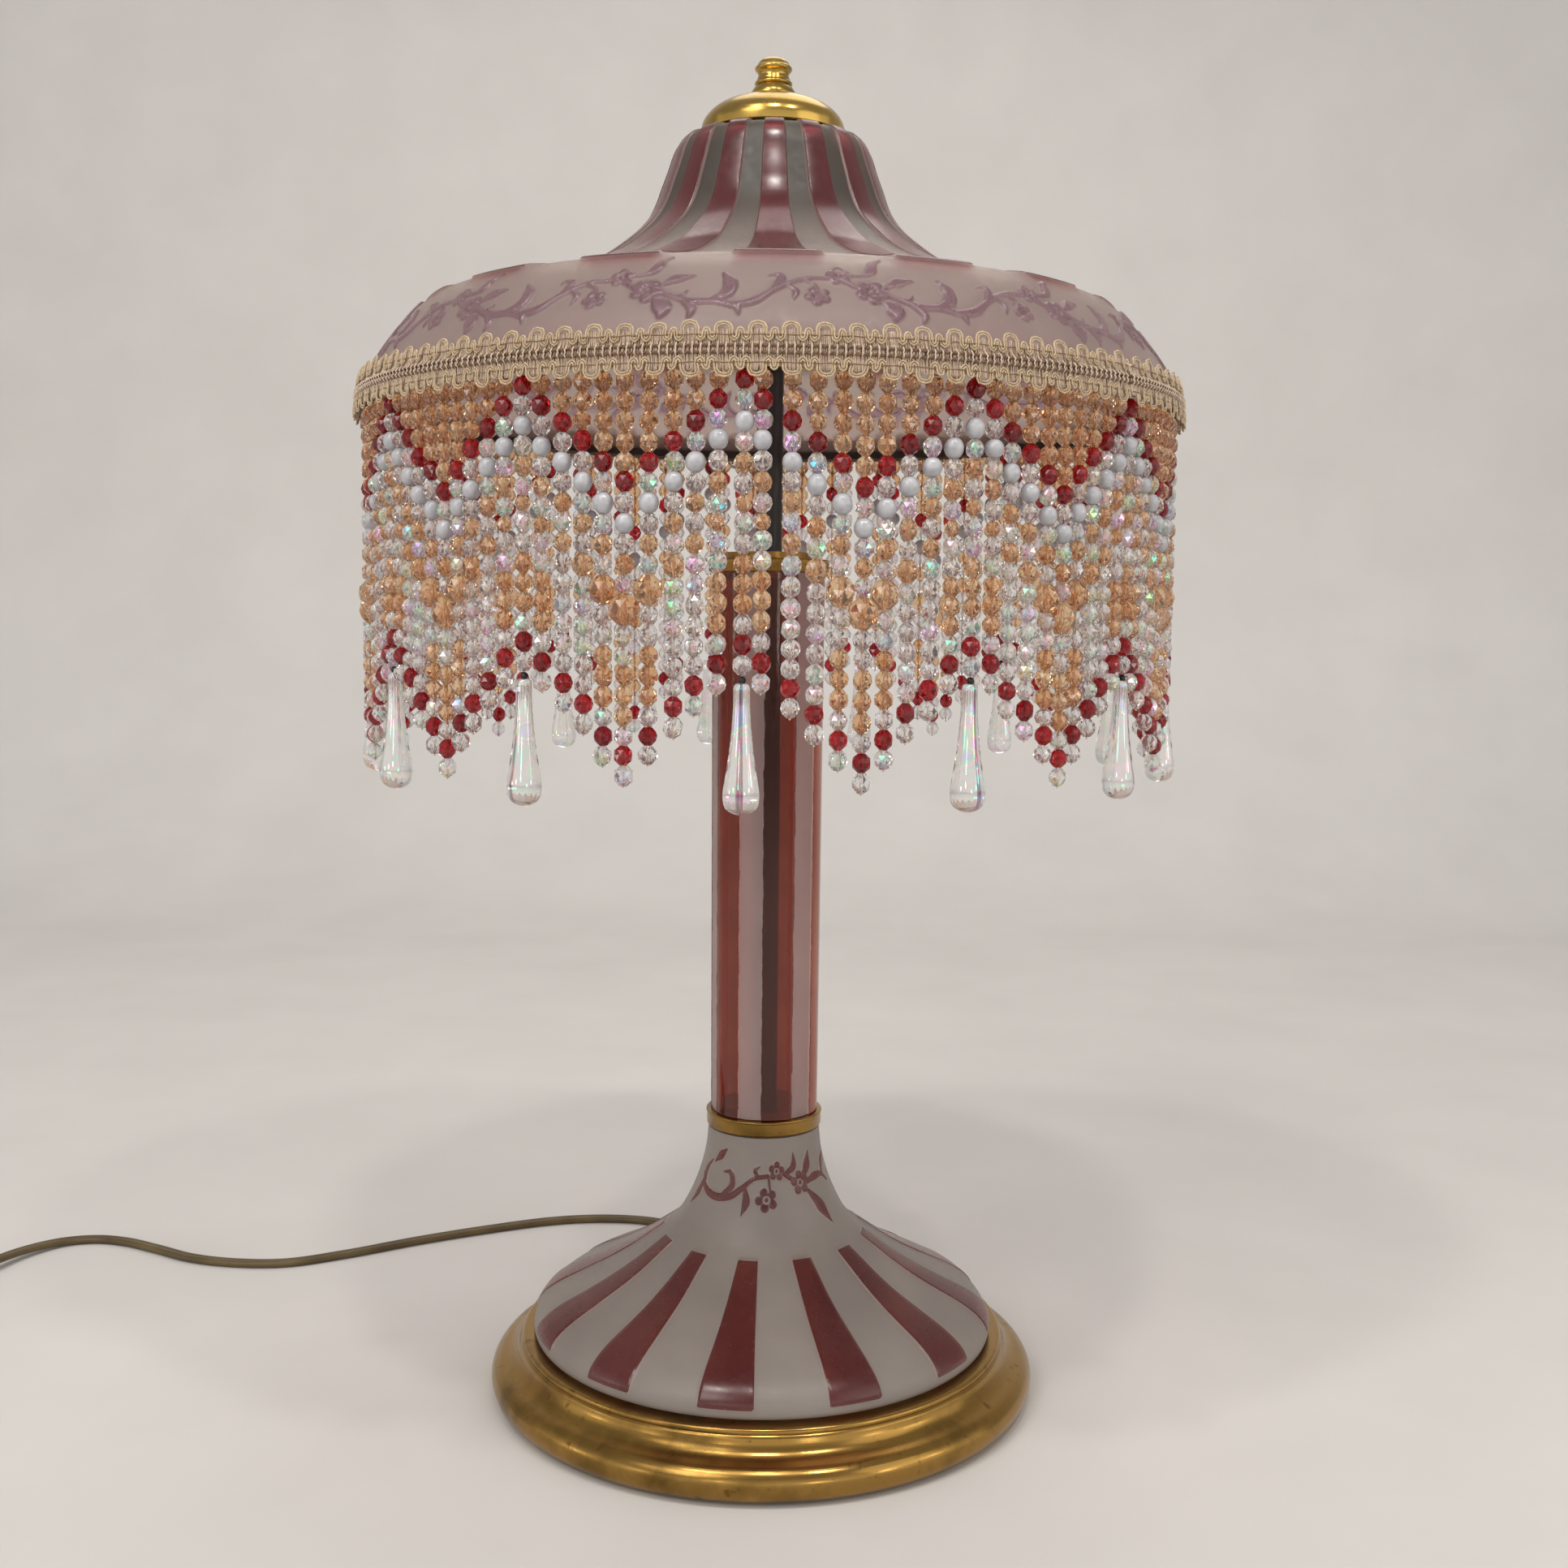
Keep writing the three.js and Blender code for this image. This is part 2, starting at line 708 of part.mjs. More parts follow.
function cord() {
  const points = [cordStart, ...CORD_ROUTE.map(([x, y, z]) => v3(x, y, z))];
  const curve = new THREE.CatmullRomCurve3(points, false, 'centripetal');
  return cut(tube(curve, CORD.thickness / 2, CORD.width / 2, 8, 52), coilRing(GAP));
}

function plug() {
  // A flat two-pin plug on the surface beside the coil, its tapered neck towards the coil.
  const x = COIL.x - COIL.columns.at(-1);
  const neckStart = COIL.y + 27;
  const bodyStart = neckStart + 20;
  const bodyLength = 24;
  const middle = 6.4;
  const neck = new THREE.CylinderGeometry(5.4, 2.9, 20, 12).translate(x, neckStart + 10, middle - 0.6);
  const body = new THREE.BoxGeometry(24, bodyLength, 12).translate(x, bodyStart + bodyLength / 2, middle);
  const blades = [-1, 1].map((side) => {
    const blade = new THREE.BoxGeometry(1.5, 18, 6.3);
    return blade.translate(x + side * 6.35, bodyStart + bodyLength + 7.9, middle);
  });
  return join(body, neck, ...blades);
}

piece('cord', cord(), 'cordBrown');
piece('cord_coil', coilRing(), 'cordBrown');
piece('plug', plug(), 'cordBrown');

export default lamp;
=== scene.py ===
"""Looks for the cameo-glass table lamp: relief glass, spun brass, gimp braid, bead fringe and cord."""

import math

import bmesh
import bpy
import numpy as np
from mathutils import Matrix, Vector


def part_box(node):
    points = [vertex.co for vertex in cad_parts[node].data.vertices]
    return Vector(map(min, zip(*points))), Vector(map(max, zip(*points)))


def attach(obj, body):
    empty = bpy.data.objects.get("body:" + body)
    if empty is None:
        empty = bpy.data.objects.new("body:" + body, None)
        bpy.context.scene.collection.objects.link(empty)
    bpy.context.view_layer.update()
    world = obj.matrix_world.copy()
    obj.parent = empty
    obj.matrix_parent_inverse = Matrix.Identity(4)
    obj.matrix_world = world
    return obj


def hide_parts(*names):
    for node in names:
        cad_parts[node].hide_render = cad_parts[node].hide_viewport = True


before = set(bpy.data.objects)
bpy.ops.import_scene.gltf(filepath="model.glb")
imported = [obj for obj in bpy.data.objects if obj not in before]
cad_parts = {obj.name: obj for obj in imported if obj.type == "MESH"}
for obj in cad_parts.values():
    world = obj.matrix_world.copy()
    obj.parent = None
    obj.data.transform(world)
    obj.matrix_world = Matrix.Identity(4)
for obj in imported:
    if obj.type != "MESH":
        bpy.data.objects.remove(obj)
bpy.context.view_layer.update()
MM = 0.001
rng = np.random.default_rng(7)


# ---- Geometry helpers ---------------------------------------------------------------------------


def spline(points, samples):
    """Points on a centripetal Catmull-Rom curve through the given ones, at even arc length."""
    p = np.asarray(points, float)
    p = np.vstack([2 * p[0] - p[1], p, 2 * p[-1] - p[-2]])
    fine = []
    for i in range(1, len(p) - 2):
        a, b, c, d = p[i - 1 : i + 3]
        t0 = 0.0
        t1 = t0 + np.linalg.norm(b - a) ** 0.5
        t2 = t1 + np.linalg.norm(c - b) ** 0.5
        t3 = t2 + np.linalg.norm(d - c) ** 0.5
        for t in np.linspace(t1, t2, 24, endpoint=False):
            ab = ((t1 - t) * a + (t - t0) * b) / (t1 - t0)
            bc = ((t2 - t) * b + (t - t1) * c) / (t2 - t1)
            cd = ((t3 - t) * c + (t - t2) * d) / (t3 - t2)
            abc = ((t2 - t) * ab + (t - t0) * bc) / (t2 - t0)
            bcd = ((t3 - t) * bc + (t - t1) * cd) / (t3 - t1)
            fine.append(((t2 - t) * abc + (t - t1) * bcd) / (t2 - t1))
    fine.append(p[-2])
    return resample(fine, samples).tolist()


def resample(points, samples):
    """The same polyline with evenly spaced points."""
    points = np.asarray(points, float)
    run = np.concatenate([[0], np.cumsum(np.linalg.norm(np.diff(points, axis=0), axis=1))])
    even = np.linspace(0, run[-1], samples)
    return np.stack([np.interp(even, run, axis) for axis in points.T], axis=1)


def arc(centre, radius, start, end, steps):
    """Profile points on a circular arc, angles in degrees."""
    angles = np.radians(np.linspace(start, end, steps))
    return [(centre[0] + radius * math.cos(a), centre[1] + radius * math.sin(a)) for a in angles]


def polar(radius, azimuth, z):
    """A place round the lamp: azimuth in degrees from the front (-Y) towards +X, lengths in mm."""
    a = math.radians(azimuth)
    return Vector((radius * math.sin(a), -radius * math.cos(a), z)) * MM


def node_box(node):
    """The low and the high corner of a CAD node, in mm."""
    return [np.array(corner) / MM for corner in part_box(node)]


def carry(piece, body, slot, *nodes):
    """Puts a piece on its body, in place of the CAD nodes it stands for."""
    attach(piece, body)
    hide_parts(*nodes)


class Soup:
    """Collects vertices and faces of many small shapes, then makes one mesh object of them."""

    def __init__(self):
        self.verts = []
        self.faces = []
        self.slots = []
        self.smooth = []
        self.tones = []
        self.count = 0

    def add(self, verts, faces, slot=0, smooth=True, tone=0.5):
        verts = np.asarray(verts, float)
        self.verts.append(verts)
        self.faces.extend(tuple(int(i) + self.count for i in face) for face in faces)
        self.slots.extend([slot] * len(faces))
        self.smooth.extend(smooth if isinstance(smooth, list) else [smooth] * len(faces))
        self.tones.extend([tone] * len(verts))
        self.count += len(verts)

    def object(self, name, materials):
        mesh = bpy.data.meshes.new(name)
        mesh.from_pydata(np.vstack(self.verts).tolist(), [], self.faces)
        for item in materials:
            mesh.materials.append(item)
        mesh.polygons.foreach_set("material_index", self.slots)
        mesh.polygons.foreach_set("use_smooth", self.smooth)
        tone = mesh.attributes.new("tone", "FLOAT", "POINT")
        tone.data.foreach_set("value", self.tones)
        mesh.update()
        obj = bpy.data.objects.new(name, mesh)
        bpy.context.scene.collection.objects.link(obj)
        return obj


def grid_faces(rows, columns, wrap_rows=False, wrap_columns=True):
    """Quads between neighbouring rows and columns of a grid of vertices."""
    faces = []
    last_row = rows if wrap_rows else rows - 1
    last_column = columns if wrap_columns else columns - 1
    for r in range(last_row):
        a = r * columns
        b = ((r + 1) % rows) * columns
        for c in range(last_column):
            d = (c + 1) % columns
            faces.append((a + c, a + d, b + d, b + c))
    return faces


def spun(name, profile, material, columns=96, closed=True, sharp=38):
    """A turned piece. Its profile of (radius, z) in mm runs anticlockwise, outside going up."""
    profile = np.asarray(profile, float)
    turn = np.linspace(0, 2 * math.pi, columns, endpoint=False)
    r = profile[:, 0][:, None]
    z = np.broadcast_to(profile[:, 1][:, None], (len(profile), columns))
    verts = np.stack([r * np.cos(turn), r * np.sin(turn), z], 2)
    soup = Soup()
    soup.add(verts.reshape(-1, 3) * MM, grid_faces(len(profile), columns, wrap_rows=closed))
    obj = soup.object(name, [material])
    tidy_mesh(obj, sharp)
    return obj


def tidy_mesh(obj, sharp):
    """Welds the points on the axis, drops what collapsed, and keeps hard edges hard."""
    mesh = bmesh.new()
    mesh.from_mesh(obj.data)
    bmesh.ops.remove_doubles(mesh, verts=mesh.verts, dist=1e-6)
    bmesh.ops.dissolve_degenerate(mesh, edges=mesh.edges, dist=1e-7)
    bmesh.ops.recalc_face_normals(mesh, faces=mesh.faces)
    mesh.to_mesh(obj.data)
    mesh.free()
    obj.data.set_sharp_from_angle(angle=math.radians(sharp))


def sweep(path, section, up=(0, 0, 1)):
    """Vertices and faces of a section (n x 2: sideways, upwards) swept along a path, lengths in mm."""
    path = np.asarray(path, float)
    section = np.asarray(section, float)
    tangent = np.gradient(path, axis=0)
    tangent /= np.linalg.norm(tangent, axis=1)[:, None]
    side = np.cross(tangent, up)
    side /= np.linalg.norm(side, axis=1)[:, None]
    top = np.cross(side, tangent)
    verts = path[:, None] + side[:, None] * section[None, :, :1] + top[:, None] * section[None, :, 1:]
    n = len(section)
    return verts.reshape(-1, 3) * MM, grid_faces(len(path), n) + end_faces(len(path), n)


def end_faces(rows, n):
    """The two faces that close the ends of a tube of rows of n points."""
    return [tuple(range(n - 1, -1, -1)), tuple(range((rows - 1) * n, rows * n))]


def ring_section(radius, sides):
    turn = np.linspace(0, 2 * math.pi, sides, endpoint=False)
    return radius * np.stack([np.cos(turn), np.sin(turn)], 1)


# ---- Material helpers ---------------------------------------------------------------------------


class Shader:
    """A Principled material with short ways to add the nodes that most materials here need."""

    def __init__(self, name, **sockets):
        self.material = bpy.data.materials.new(name)
        self.material.use_nodes = True
        self.tree = self.material.node_tree
        self.bsdf = self.tree.nodes["Principled BSDF"]
        for key, value in sockets.items():
            self.bsdf.inputs[key.replace("_", " ")].default_value = value
        self.place = self.node("ShaderNodeTexCoord").outputs["Object"]

    def node(self, kind, inputs=None, **props):
        made = self.tree.nodes.new(kind)
        for key, value in props.items():
            setattr(made, key, value)
        for key, value in (inputs or {}).items():
            if isinstance(value, bpy.types.NodeSocket):
                self.tree.links.new(value, made.inputs[key])
            else:
                made.inputs[key].default_value = value
        return made

    def noise(self, scale, detail=3.0, rough=0.55, vector=None):
        inputs = {"Vector": vector or self.place, "Scale": scale, "Detail": detail, "Roughness": rough}
        return self.node("ShaderNodeTexNoise", inputs).outputs["Fac"]

    def scaled(self, x, y, z):
        """The object coordinates stretched along each axis."""
        return self.node("ShaderNodeMapping", {"Vector": self.place, "Scale": (x, y, z)}).outputs["Vector"]

    def field(self, name):
        """A value stored on the mesh's vertices."""
        return self.node("ShaderNodeAttribute", attribute_name=name).outputs["Fac"]

    def math(self, operation, a, b):
        return self.node("ShaderNodeMath", {0: a, 1: b}, operation=operation).outputs[0]

    def ramp(self, value, stops):
        made = self.node("ShaderNodeValToRGB", {"Fac": value})
        ramp = made.color_ramp
        while len(ramp.elements) < len(stops):
            ramp.elements.new(0.5)
        for element, (place, colour) in zip(ramp.elements, stops):
            element.position = place
            element.color = (*colour, 1)
        return made.outputs["Color"]

    def mottle(self, tone, dark, light, low=0.3, high=0.7):
        """Makes the base colour follow a value, from the dark colour to the light one."""
        self.link(self.ramp(tone, [(low, dark), (high, light)]), "Base Color")

    def spread(self, value, low, high, to_low, to_high):
        """Maps a value from one range to another."""
        inputs = {"Value": value, "From Min": low, "From Max": high, "To Min": to_low, "To Max": to_high}
        return self.node("ShaderNodeMapRange", inputs).outputs["Result"]

    def mix(self, factor, a, b, blend="MIX"):
        made = self.node("ShaderNodeMix", data_type="RGBA", blend_type=blend)
        for socket, value in zip((made.inputs[0], made.inputs[6], made.inputs[7]), (factor, a, b)):
            if isinstance(value, bpy.types.NodeSocket):
                self.tree.links.new(value, socket)
            else:
                socket.default_value = (*value, 1) if isinstance(value, tuple) else value
        return made.outputs[2]

    def link(self, value, socket):
        self.tree.links.new(value, self.bsdf.inputs[socket])

    def bump(self, height, distance, strength=1.0):
        made = self.node("ShaderNodeBump", {"Height": height, "Distance": distance, "Strength": strength})
        self.link(made.outputs["Normal"], "Normal")

    def radius(self):
        """Distance from the lamp's axis."""
        flat = self.node("ShaderNodeVectorMath", {0: self.place, 1: (1, 1, 0)}, operation="MULTIPLY")
        return self.node("ShaderNodeVectorMath", {0: flat.outputs[0]}, operation="LENGTH").outputs["Value"]


# ---- Camera, light and stage --------------------------------------------------------------------


LIGHT_COLOUR = (1, 0.97, 0.93)
WORLD_BRIGHT = (1.0, 0.97, 0.94, 1)
WORLD_BELOW = (0.34, 0.325, 0.31, 1)
WORLD_ABOVE = (0.4, 0.385, 0.37, 1)


def camera():
    data = bpy.data.cameras.new("camera")
    data.sensor_width = 36
    data.lens = 39.247
    obj = bpy.data.objects.new("camera", data)
    turn = Matrix.Rotation(math.radians(-0.461), 4, "Z")
    tilt = Matrix.Rotation(math.radians(84.515), 4, "X")
    lean = Matrix.Rotation(math.radians(0.59), 4, "Z")
    obj.matrix_world = Matrix.Translation((0.0013, -0.6556, 0.2991)) @ turn @ tilt @ lean
    bpy.context.scene.collection.objects.link(obj)
    bpy.context.scene.camera = obj


def area_light(name, place, target, size, power):
    data = bpy.data.lights.new(name, "AREA")
    data.shape = "DISK"
    data.size = size
    data.energy = power
    data.color = LIGHT_COLOUR
    obj = bpy.data.objects.new(name, data)
    obj.location = place
    obj.rotation_euler = (Vector(target) - Vector(place)).to_track_quat("-Z", "Y").to_euler()
    bpy.context.scene.collection.objects.link(obj)


def lighting():
    scene = bpy.context.scene
    scene.view_settings.view_transform = "Standard"
    scene.cycles.max_bounces = 24
    scene.cycles.transmission_bounces = 24
    scene.cycles.glossy_bounces = 8
    scene.world = bpy.data.worlds.new("studio")
    scene.world.use_nodes = True
    tree = scene.world.node_tree
    coords = tree.nodes.new("ShaderNodeTexCoord")
    split = tree.nodes.new("ShaderNodeSeparateXYZ")
    ramp = tree.nodes.new("ShaderNodeValToRGB")
    tree.links.new(coords.outputs["Generated"], split.inputs[0])
    tree.links.new(split.outputs["Z"], ramp.inputs["Fac"])
    ramp.color_ramp.elements.new(0.02).color = WORLD_BRIGHT
    ramp.color_ramp.elements.new(0.3).color = WORLD_BRIGHT
    ramp.color_ramp.elements[0].color = WORLD_BELOW
    ramp.color_ramp.elements[-1].color = WORLD_ABOVE
    ramp.color_ramp.elements[-1].position = 0.6
    tree.links.new(ramp.outputs["Color"], tree.nodes["Background"].inputs["Color"])
    tree.nodes["Background"].inputs["Strength"].default_value = 0.95
    area_light("key", (-1.0, -1.4, 1.7), (0, 0, 0.25), 1.0, 11)
    area_light("fill", (1.5, -0.9, 1.1), (0, 0, 0.25), 1.2, 3)
    area_light("rim", (0.1, 0.7, 1.5), (0, 0.1, 0.38), 1.0, 4)
    for i, x in enumerate((-0.42, 0.03, 0.46)):
        area_light(f"ceiling_{i}", (x, -0.6, 1.45), (0, 0, 0.2), 0.1, 2.8)
    for i, azimuth in enumerate((-74, -46, -17, 21, 49, 71)):
        place = polar(1500, azimuth, 300 + 110 * (i % 3))
        area_light(f"glint_{i}", place, (0, 0, 0.3), 0.16, 0.36)


def stage():
    """A pale floor that curves up into a backdrop."""
    shader = Shader("studio_paper", Roughness=0.85)
    tone = shader.noise(9, 4)
    shader.mottle(tone, (0.65, 0.63, 0.61), (0.69, 0.67, 0.65))
    width, front, depth, bend, height = 9.0, -12.0, 0.95, 0.5, 3.0
    profile = [(front, 0.0), (depth, 0.0)]
    profile += arc((depth, bend), bend, -84, 0, 14)
    profile.append((depth + bend, height))
    verts = [(side * width, y, z - 0.0002) for y, z in profile for side in (-1, 1)]
    soup = Soup()
    soup.add(verts, grid_faces(len(profile), 2, wrap_columns=False))
    floor = soup.object("studio_floor", [shader.material])


# ---- Mains cord ---------------------------------------------------------------------------------

CORD_WIDTH = 5.5
CORD_THICK = 3.0
CORD_LAYER = 3.4
CORD_ROUTE = [
    (-28.8, 124.6, 6.5),
    (-32.5, 140, 5.2),
    (-41, 157, 2.6),
    (-57, 168.5, 1.6),
    (-78, 171.5, 1.6),
    (-103, 168, 1.6),
    (-135, 155, 1.6),
    (-166, 139, 1.6),
    (-195, 121.5, 1.6),
    (-220, 110, 1.6),
    (-243, 109.5, 1.6),
    (-265, 115, 1.6),
    (-285, 126, 1.6),
    (-303, 135, 1.6),
    (-318, 138, 1.6),
    (-332, 133.5, 2.0),
    (-343, 120, 3.2),
    (-351, 100, 4.6),
    (-355.4, 80, 5.0),
    (-356, 60, 5.0),
]
# The hole in the back of the foot: degrees from the back, distance from the axis and height.
EXIT_TURN = 13
EXIT_DISTANCE = 105.9
EXIT_HEIGHT = 6.5
COIL_CENTRE = (-394, 60)
COIL_COLUMNS = (26.4, 32.2, 38.0, 43.8)
TIE_ANGLE = 2.2


def coil_path():
    """Turns wound inwards on the upper layer, outwards on the lower one, ending in half a turn."""
    inner, middle, outer, last = COIL_COLUMNS
    upper = CORD_ROUTE[-1][2]
    lower = upper - CORD_LAYER
    slots = [(outer, upper), (middle, upper), (inner, upper), (inner, lower), (middle, lower), (outer, lower)]
    slots += [(last, lower), (last, lower)]
    steps = 36
    points = []
    for turn, (here, there) in enumerate(zip(slots[:-1], slots[1:])):
        share = steps // 2 if turn == len(slots) - 2 else steps
        for i in range(share):
            part = i / steps
            ease = min(max((part - 0.8) / 0.2, 0), 1)
            ease = ease * ease * (3 - 2 * ease)
            radius = here[0] + (there[0] - here[0]) * ease
            angle = -2 * math.pi * part
            x = COIL_CENTRE[0] + radius * math.cos(angle)
            y = COIL_CENTRE[1] + radius * math.sin(angle)
            points.append((x, y, here[1] + (there[1] - here[1]) * ease))
    x = COIL_CENTRE[0] - last
    tail = [(x, COIL_CENTRE[1] + 0.1, 1.6), (x, COIL_CENTRE[1] + 12, 2.2), (x, COIL_CENTRE[1] + 30, 5.6)]
    return points + tail


def cord_section():
    """Two wires side by side with the groove between them, in mm."""
    wire = CORD_THICK / 2
    centre = CORD_WIDTH / 2 - wire
    right = [(centre + wire * math.cos(a), wire * math.sin(a)) for a in np.radians(np.linspace(-125, 125, 9))]
    left = [(-x, -z) for x, z in right]
    return np.array(right + left)


def cord_shader():
    shader = Shader("cord_pvc", Roughness=0.38, Specular_IOR_Level=0.4)
    tone = shader.noise(60, 4)
    shader.mottle(tone, (0.075, 0.05, 0.018), (0.13, 0.09, 0.036))
    shader.bump(shader.noise(900, 2), 0.00012, 0.5)
    return shader.material


def cord():
    free = spline(CORD_ROUTE, 220)[:-1]
    route = np.vstack([free, spline(coil_path(), 900)])
    material = cord_shader()
    soup = Soup()
    soup.add(*sweep(route, cord_section()))
    flex = soup.object("mains_cord", [material])
    carry(flex, "stand", "cord", "cord", "cord_coil")
    moulded = plug(material)
    relief()
    coil_tie()


def plug(material):
    """A flat moulded plug with a ribbed neck, finger hollows and two blades."""
    low, high = node_box("plug")
    middle = (low + high) / 2
    blade_length = 17
    face_y = high[1] - blade_length
    neck_y = low[1]
    body_y = neck_y + 20
    soup = Soup()
    outline = [(body_y, 6.0), (body_y + 3, 9.4), (body_y + 8, 10.6), (face_y - 7, 10.4), (face_y - 3.4, 11.6),
               (face_y - 0.8, 11.9), (face_y, 11.2)]
    rings = []
    for y, half in outline:
        thick = 5.1 if y < face_y - 4 else 5.8
        ring = []
        for a in np.linspace(0, 2 * math.pi, 40, endpoint=False):
            c, s = math.cos(a), math.sin(a)
            ring.append((half * abs(c) ** 0.5 * np.sign(c), y, thick * abs(s) ** 0.5 * np.sign(s)))
        rings.append(ring)
    verts = np.array(rings).reshape(-1, 3) + (middle[0], 0, middle[2])
    n = 40
    soup.add(verts * MM, grid_faces(len(outline), n) + end_faces(len(outline), n))
    for i in range(7):
        y = neck_y + 2 + i * 2.7
        grow = 2.9 + 2.3 * i / 6
        band = [(grow, y - 1), (grow + 0.4, y - 0.6), (grow + 0.4, y + 0.6), (grow, y + 1)]
        band += [(grow - 0.7, y + 1.4), (grow - 0.7, y + 1.7)]
        turn = np.linspace(0, 2 * math.pi, 20, endpoint=False)
        ring = [(r * math.cos(a), yy, 0.8 * r * math.sin(a)) for r, yy in band for a in turn]
        verts = np.array(ring) + (middle[0], 0, middle[2] - 0.6 + 0.6 * i / 6)
        soup.add(verts * MM, grid_faces(len(band), 20) + end_faces(len(band), 20))
    body = soup.object("plug_moulding", [material])
    tidy_mesh(body, 50)
    carry(body, "stand", "plug", "plug")
    metal = Soup()
    for side in (-1, 1):
        x = middle[0] + side * 6.35
        outline = [(-3.15, face_y - 1), (3.15, face_y - 1), (3.15, high[1] - 1.6), (2.2, high[1] - 0.1),
                   (-2.2, high[1] - 0.1), (-3.15, high[1] - 1.6)]
        verts = [(x + t, y, middle[2] + z) for t in (-0.75, 0.75) for z, y in outline]
        n = len(outline)
        faces = [tuple(range(n)), tuple(range(2 * n - 1, n - 1, -1))]
        faces += [(i, i + n, (i + 1) % n + n, (i + 1) % n) for i in range(n)]
        metal.add(np.array(verts) * MM, faces, smooth=False)
    blades = metal.object("plug_blades", [brass_shader("blade_brass", (0.62, 0.5, 0.26), 0.3)])
    tidy_mesh(blades, 30)
    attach(blades, "stand")
    return body


def relief():
    """A tapered rubber sleeve with grip rings where the cord leaves the foot."""
    shader = Shader("relief_rubber", Base_Color=(0.03, 0.026, 0.022, 1), Roughness=0.55)
    shader.bump(shader.noise(1400, 2), 0.0001, 0.4)
    outwards = polar(1, 180 + EXIT_TURN, 0) / MM
    profile = [(2.6, -7), (3.9, -6), (4.1, -1), (4.1, 1.4), (5.4, 1.8), (5.5, 3.1), (4.3, 3.8)]
    rings = 5
    for i in range(rings):
        y = 4.6 + i * 3.1
        r = 4.3 - 0.2 * i
        profile += [(r, y), (r - 0.1, y + 1.7), (r - 0.7, y + 1.9), (r - 0.75, y + 2.7)]
    profile = [(0.001, -7)] + profile + [(3.2, 21.4), (2.9, 21.9), (0.001, 21.9)]
    piece = spun("relief_sleeve", profile, shader.material, 40, closed=False)
    turn = outwards.to_track_quat("Z", "X").to_matrix().to_4x4()
    place = polar(EXIT_DISTANCE, 180 + EXIT_TURN, EXIT_HEIGHT)
    piece.data.transform(Matrix.Translation(place) @ turn)
    carry(piece, "stand", "rubber", "cord_relief")


def coil_tie():
    """A twist of flat tie round the coil."""
    shader = Shader("tie_paper", Roughness=0.7)
    tone = shader.noise(500)
    shader.mottle(tone, (0.03, 0.03, 0.03), (0.07, 0.065, 0.06))
    inner, outer = COIL_COLUMNS[0] - 3.1, COIL_COLUMNS[3] + 3.1
    loop = [(inner, 0.15), (inner, 6.8), (inner + 3, 7.0), (outer - 3, 7.0), (outer, 5.2), (outer, 0.15)]
    c, s = math.cos(TIE_ANGLE), math.sin(TIE_ANGLE)
    path = [(COIL_CENTRE[0] + r * c, COIL_CENTRE[1] + r * s, z) for r, z in loop]
    across = (-s, c, 0)
    section = [(-0.25, -2), (0.25, -2), (0.25, 2), (-0.25, 2)]
    soup = Soup()
    soup.add(*sweep(resample(path, 40), section, up=across), smooth=False)
    tie = soup.object("coil_tie", [shader.material])
    tidy_mesh(tie, 30)
    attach(tie, "stand")


# ---- Brass and other metal ----------------------------------------------------------------------


def brass_shader(name, colour, rough, tarnish_and_shade=0.35):
    """Spun brass: fine concentric lines, tarnished brown patches that on the foot are deepened as painted
    shade, wear-dulled gloss.
    """
    shader = Shader(name, Metallic=1.0)
    dark = tuple(c * (1 - tarnish_and_shade) for c in colour)
    brown = (colour[0] * 0.42, colour[1] * 0.34, colour[2] * 0.28)
    patches = shader.noise(26, 5, 0.6)
    specks = shader.noise(240, 3)
    body = shader.ramp(patches, [(0.34, dark), (0.52, colour), (0.75, colour)])
    spots = shader.spread(specks, 0.62, 0.74, 0, 0.75)
    shader.link(shader.mix(spots, body, brown), "Base Color")
    shader.link(shader.spread(patches, 0.3, 0.75, rough + 0.16, rough), "Roughness")
    inputs = {"W": shader.math("MULTIPLY", shader.radius(), 2600), "Scale": 1.0, "Detail": 2.0}
    rings = shader.node("ShaderNodeTexNoise", inputs, noise_dimensions="1D").outputs["Fac"]
    shader.bump(shader.math("ADD", rings, shader.math("MULTIPLY", patches, 3)), 0.00006, 0.35)
    return shader.material


def brass_pieces():
    # The foot and collars get darker brass than the cap and finial. This is partly their own darker tone and
    # partly painted shade for the dark surroundings the foot reflects.
    foot = brass_shader("shaded_foot_brass", (0.36, 0.21, 0.056), 0.13, 0.55)
    bright = brass_shader("bright_brass", (0.52, 0.34, 0.085), 0.13, 0.4)
    spun_foot(foot)
    collar("lower_collar", foot)
    collar("upper_collar", foot, flutes=110)
    cap(bright)
    finial(bright)
    dull = brass_shader("inner_brass", (0.5, 0.37, 0.16), 0.3)
    dress("harp_saddle", dull)
    harp(dull)
    socket(dull)


def dress(node, material):
    """Gives a carried-over CAD node its finish."""
    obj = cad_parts[node]
    obj.data.materials.clear()
    obj.data.materials.append(material)


def spun_foot(material):
    outer = arc((99.1, 7), 6.8, -75, 68, 24)
    outer += spline([(101.0, 13.5), (99.3, 14.05), (97.7, 14.9), (96.3, 16.1), (95.2, 17.8), (94.4, 20)], 20)
    outer += arc((92.4, 21.3), 1.45, -30, 90, 10)
    outer += [(90.5, 22.72), (60, 22.72), (5.3, 22.72), (5.3, 21.3), (90.2, 21.3), (93.6, 17), (97.2, 13.1)]
    outer += arc((99.1, 7), 5.4, 75, -60, 12)
    foot = spun("foot_shell", outer, material, 288, sharp=55)
    carry(foot, "stand", "brass", "brass_base")


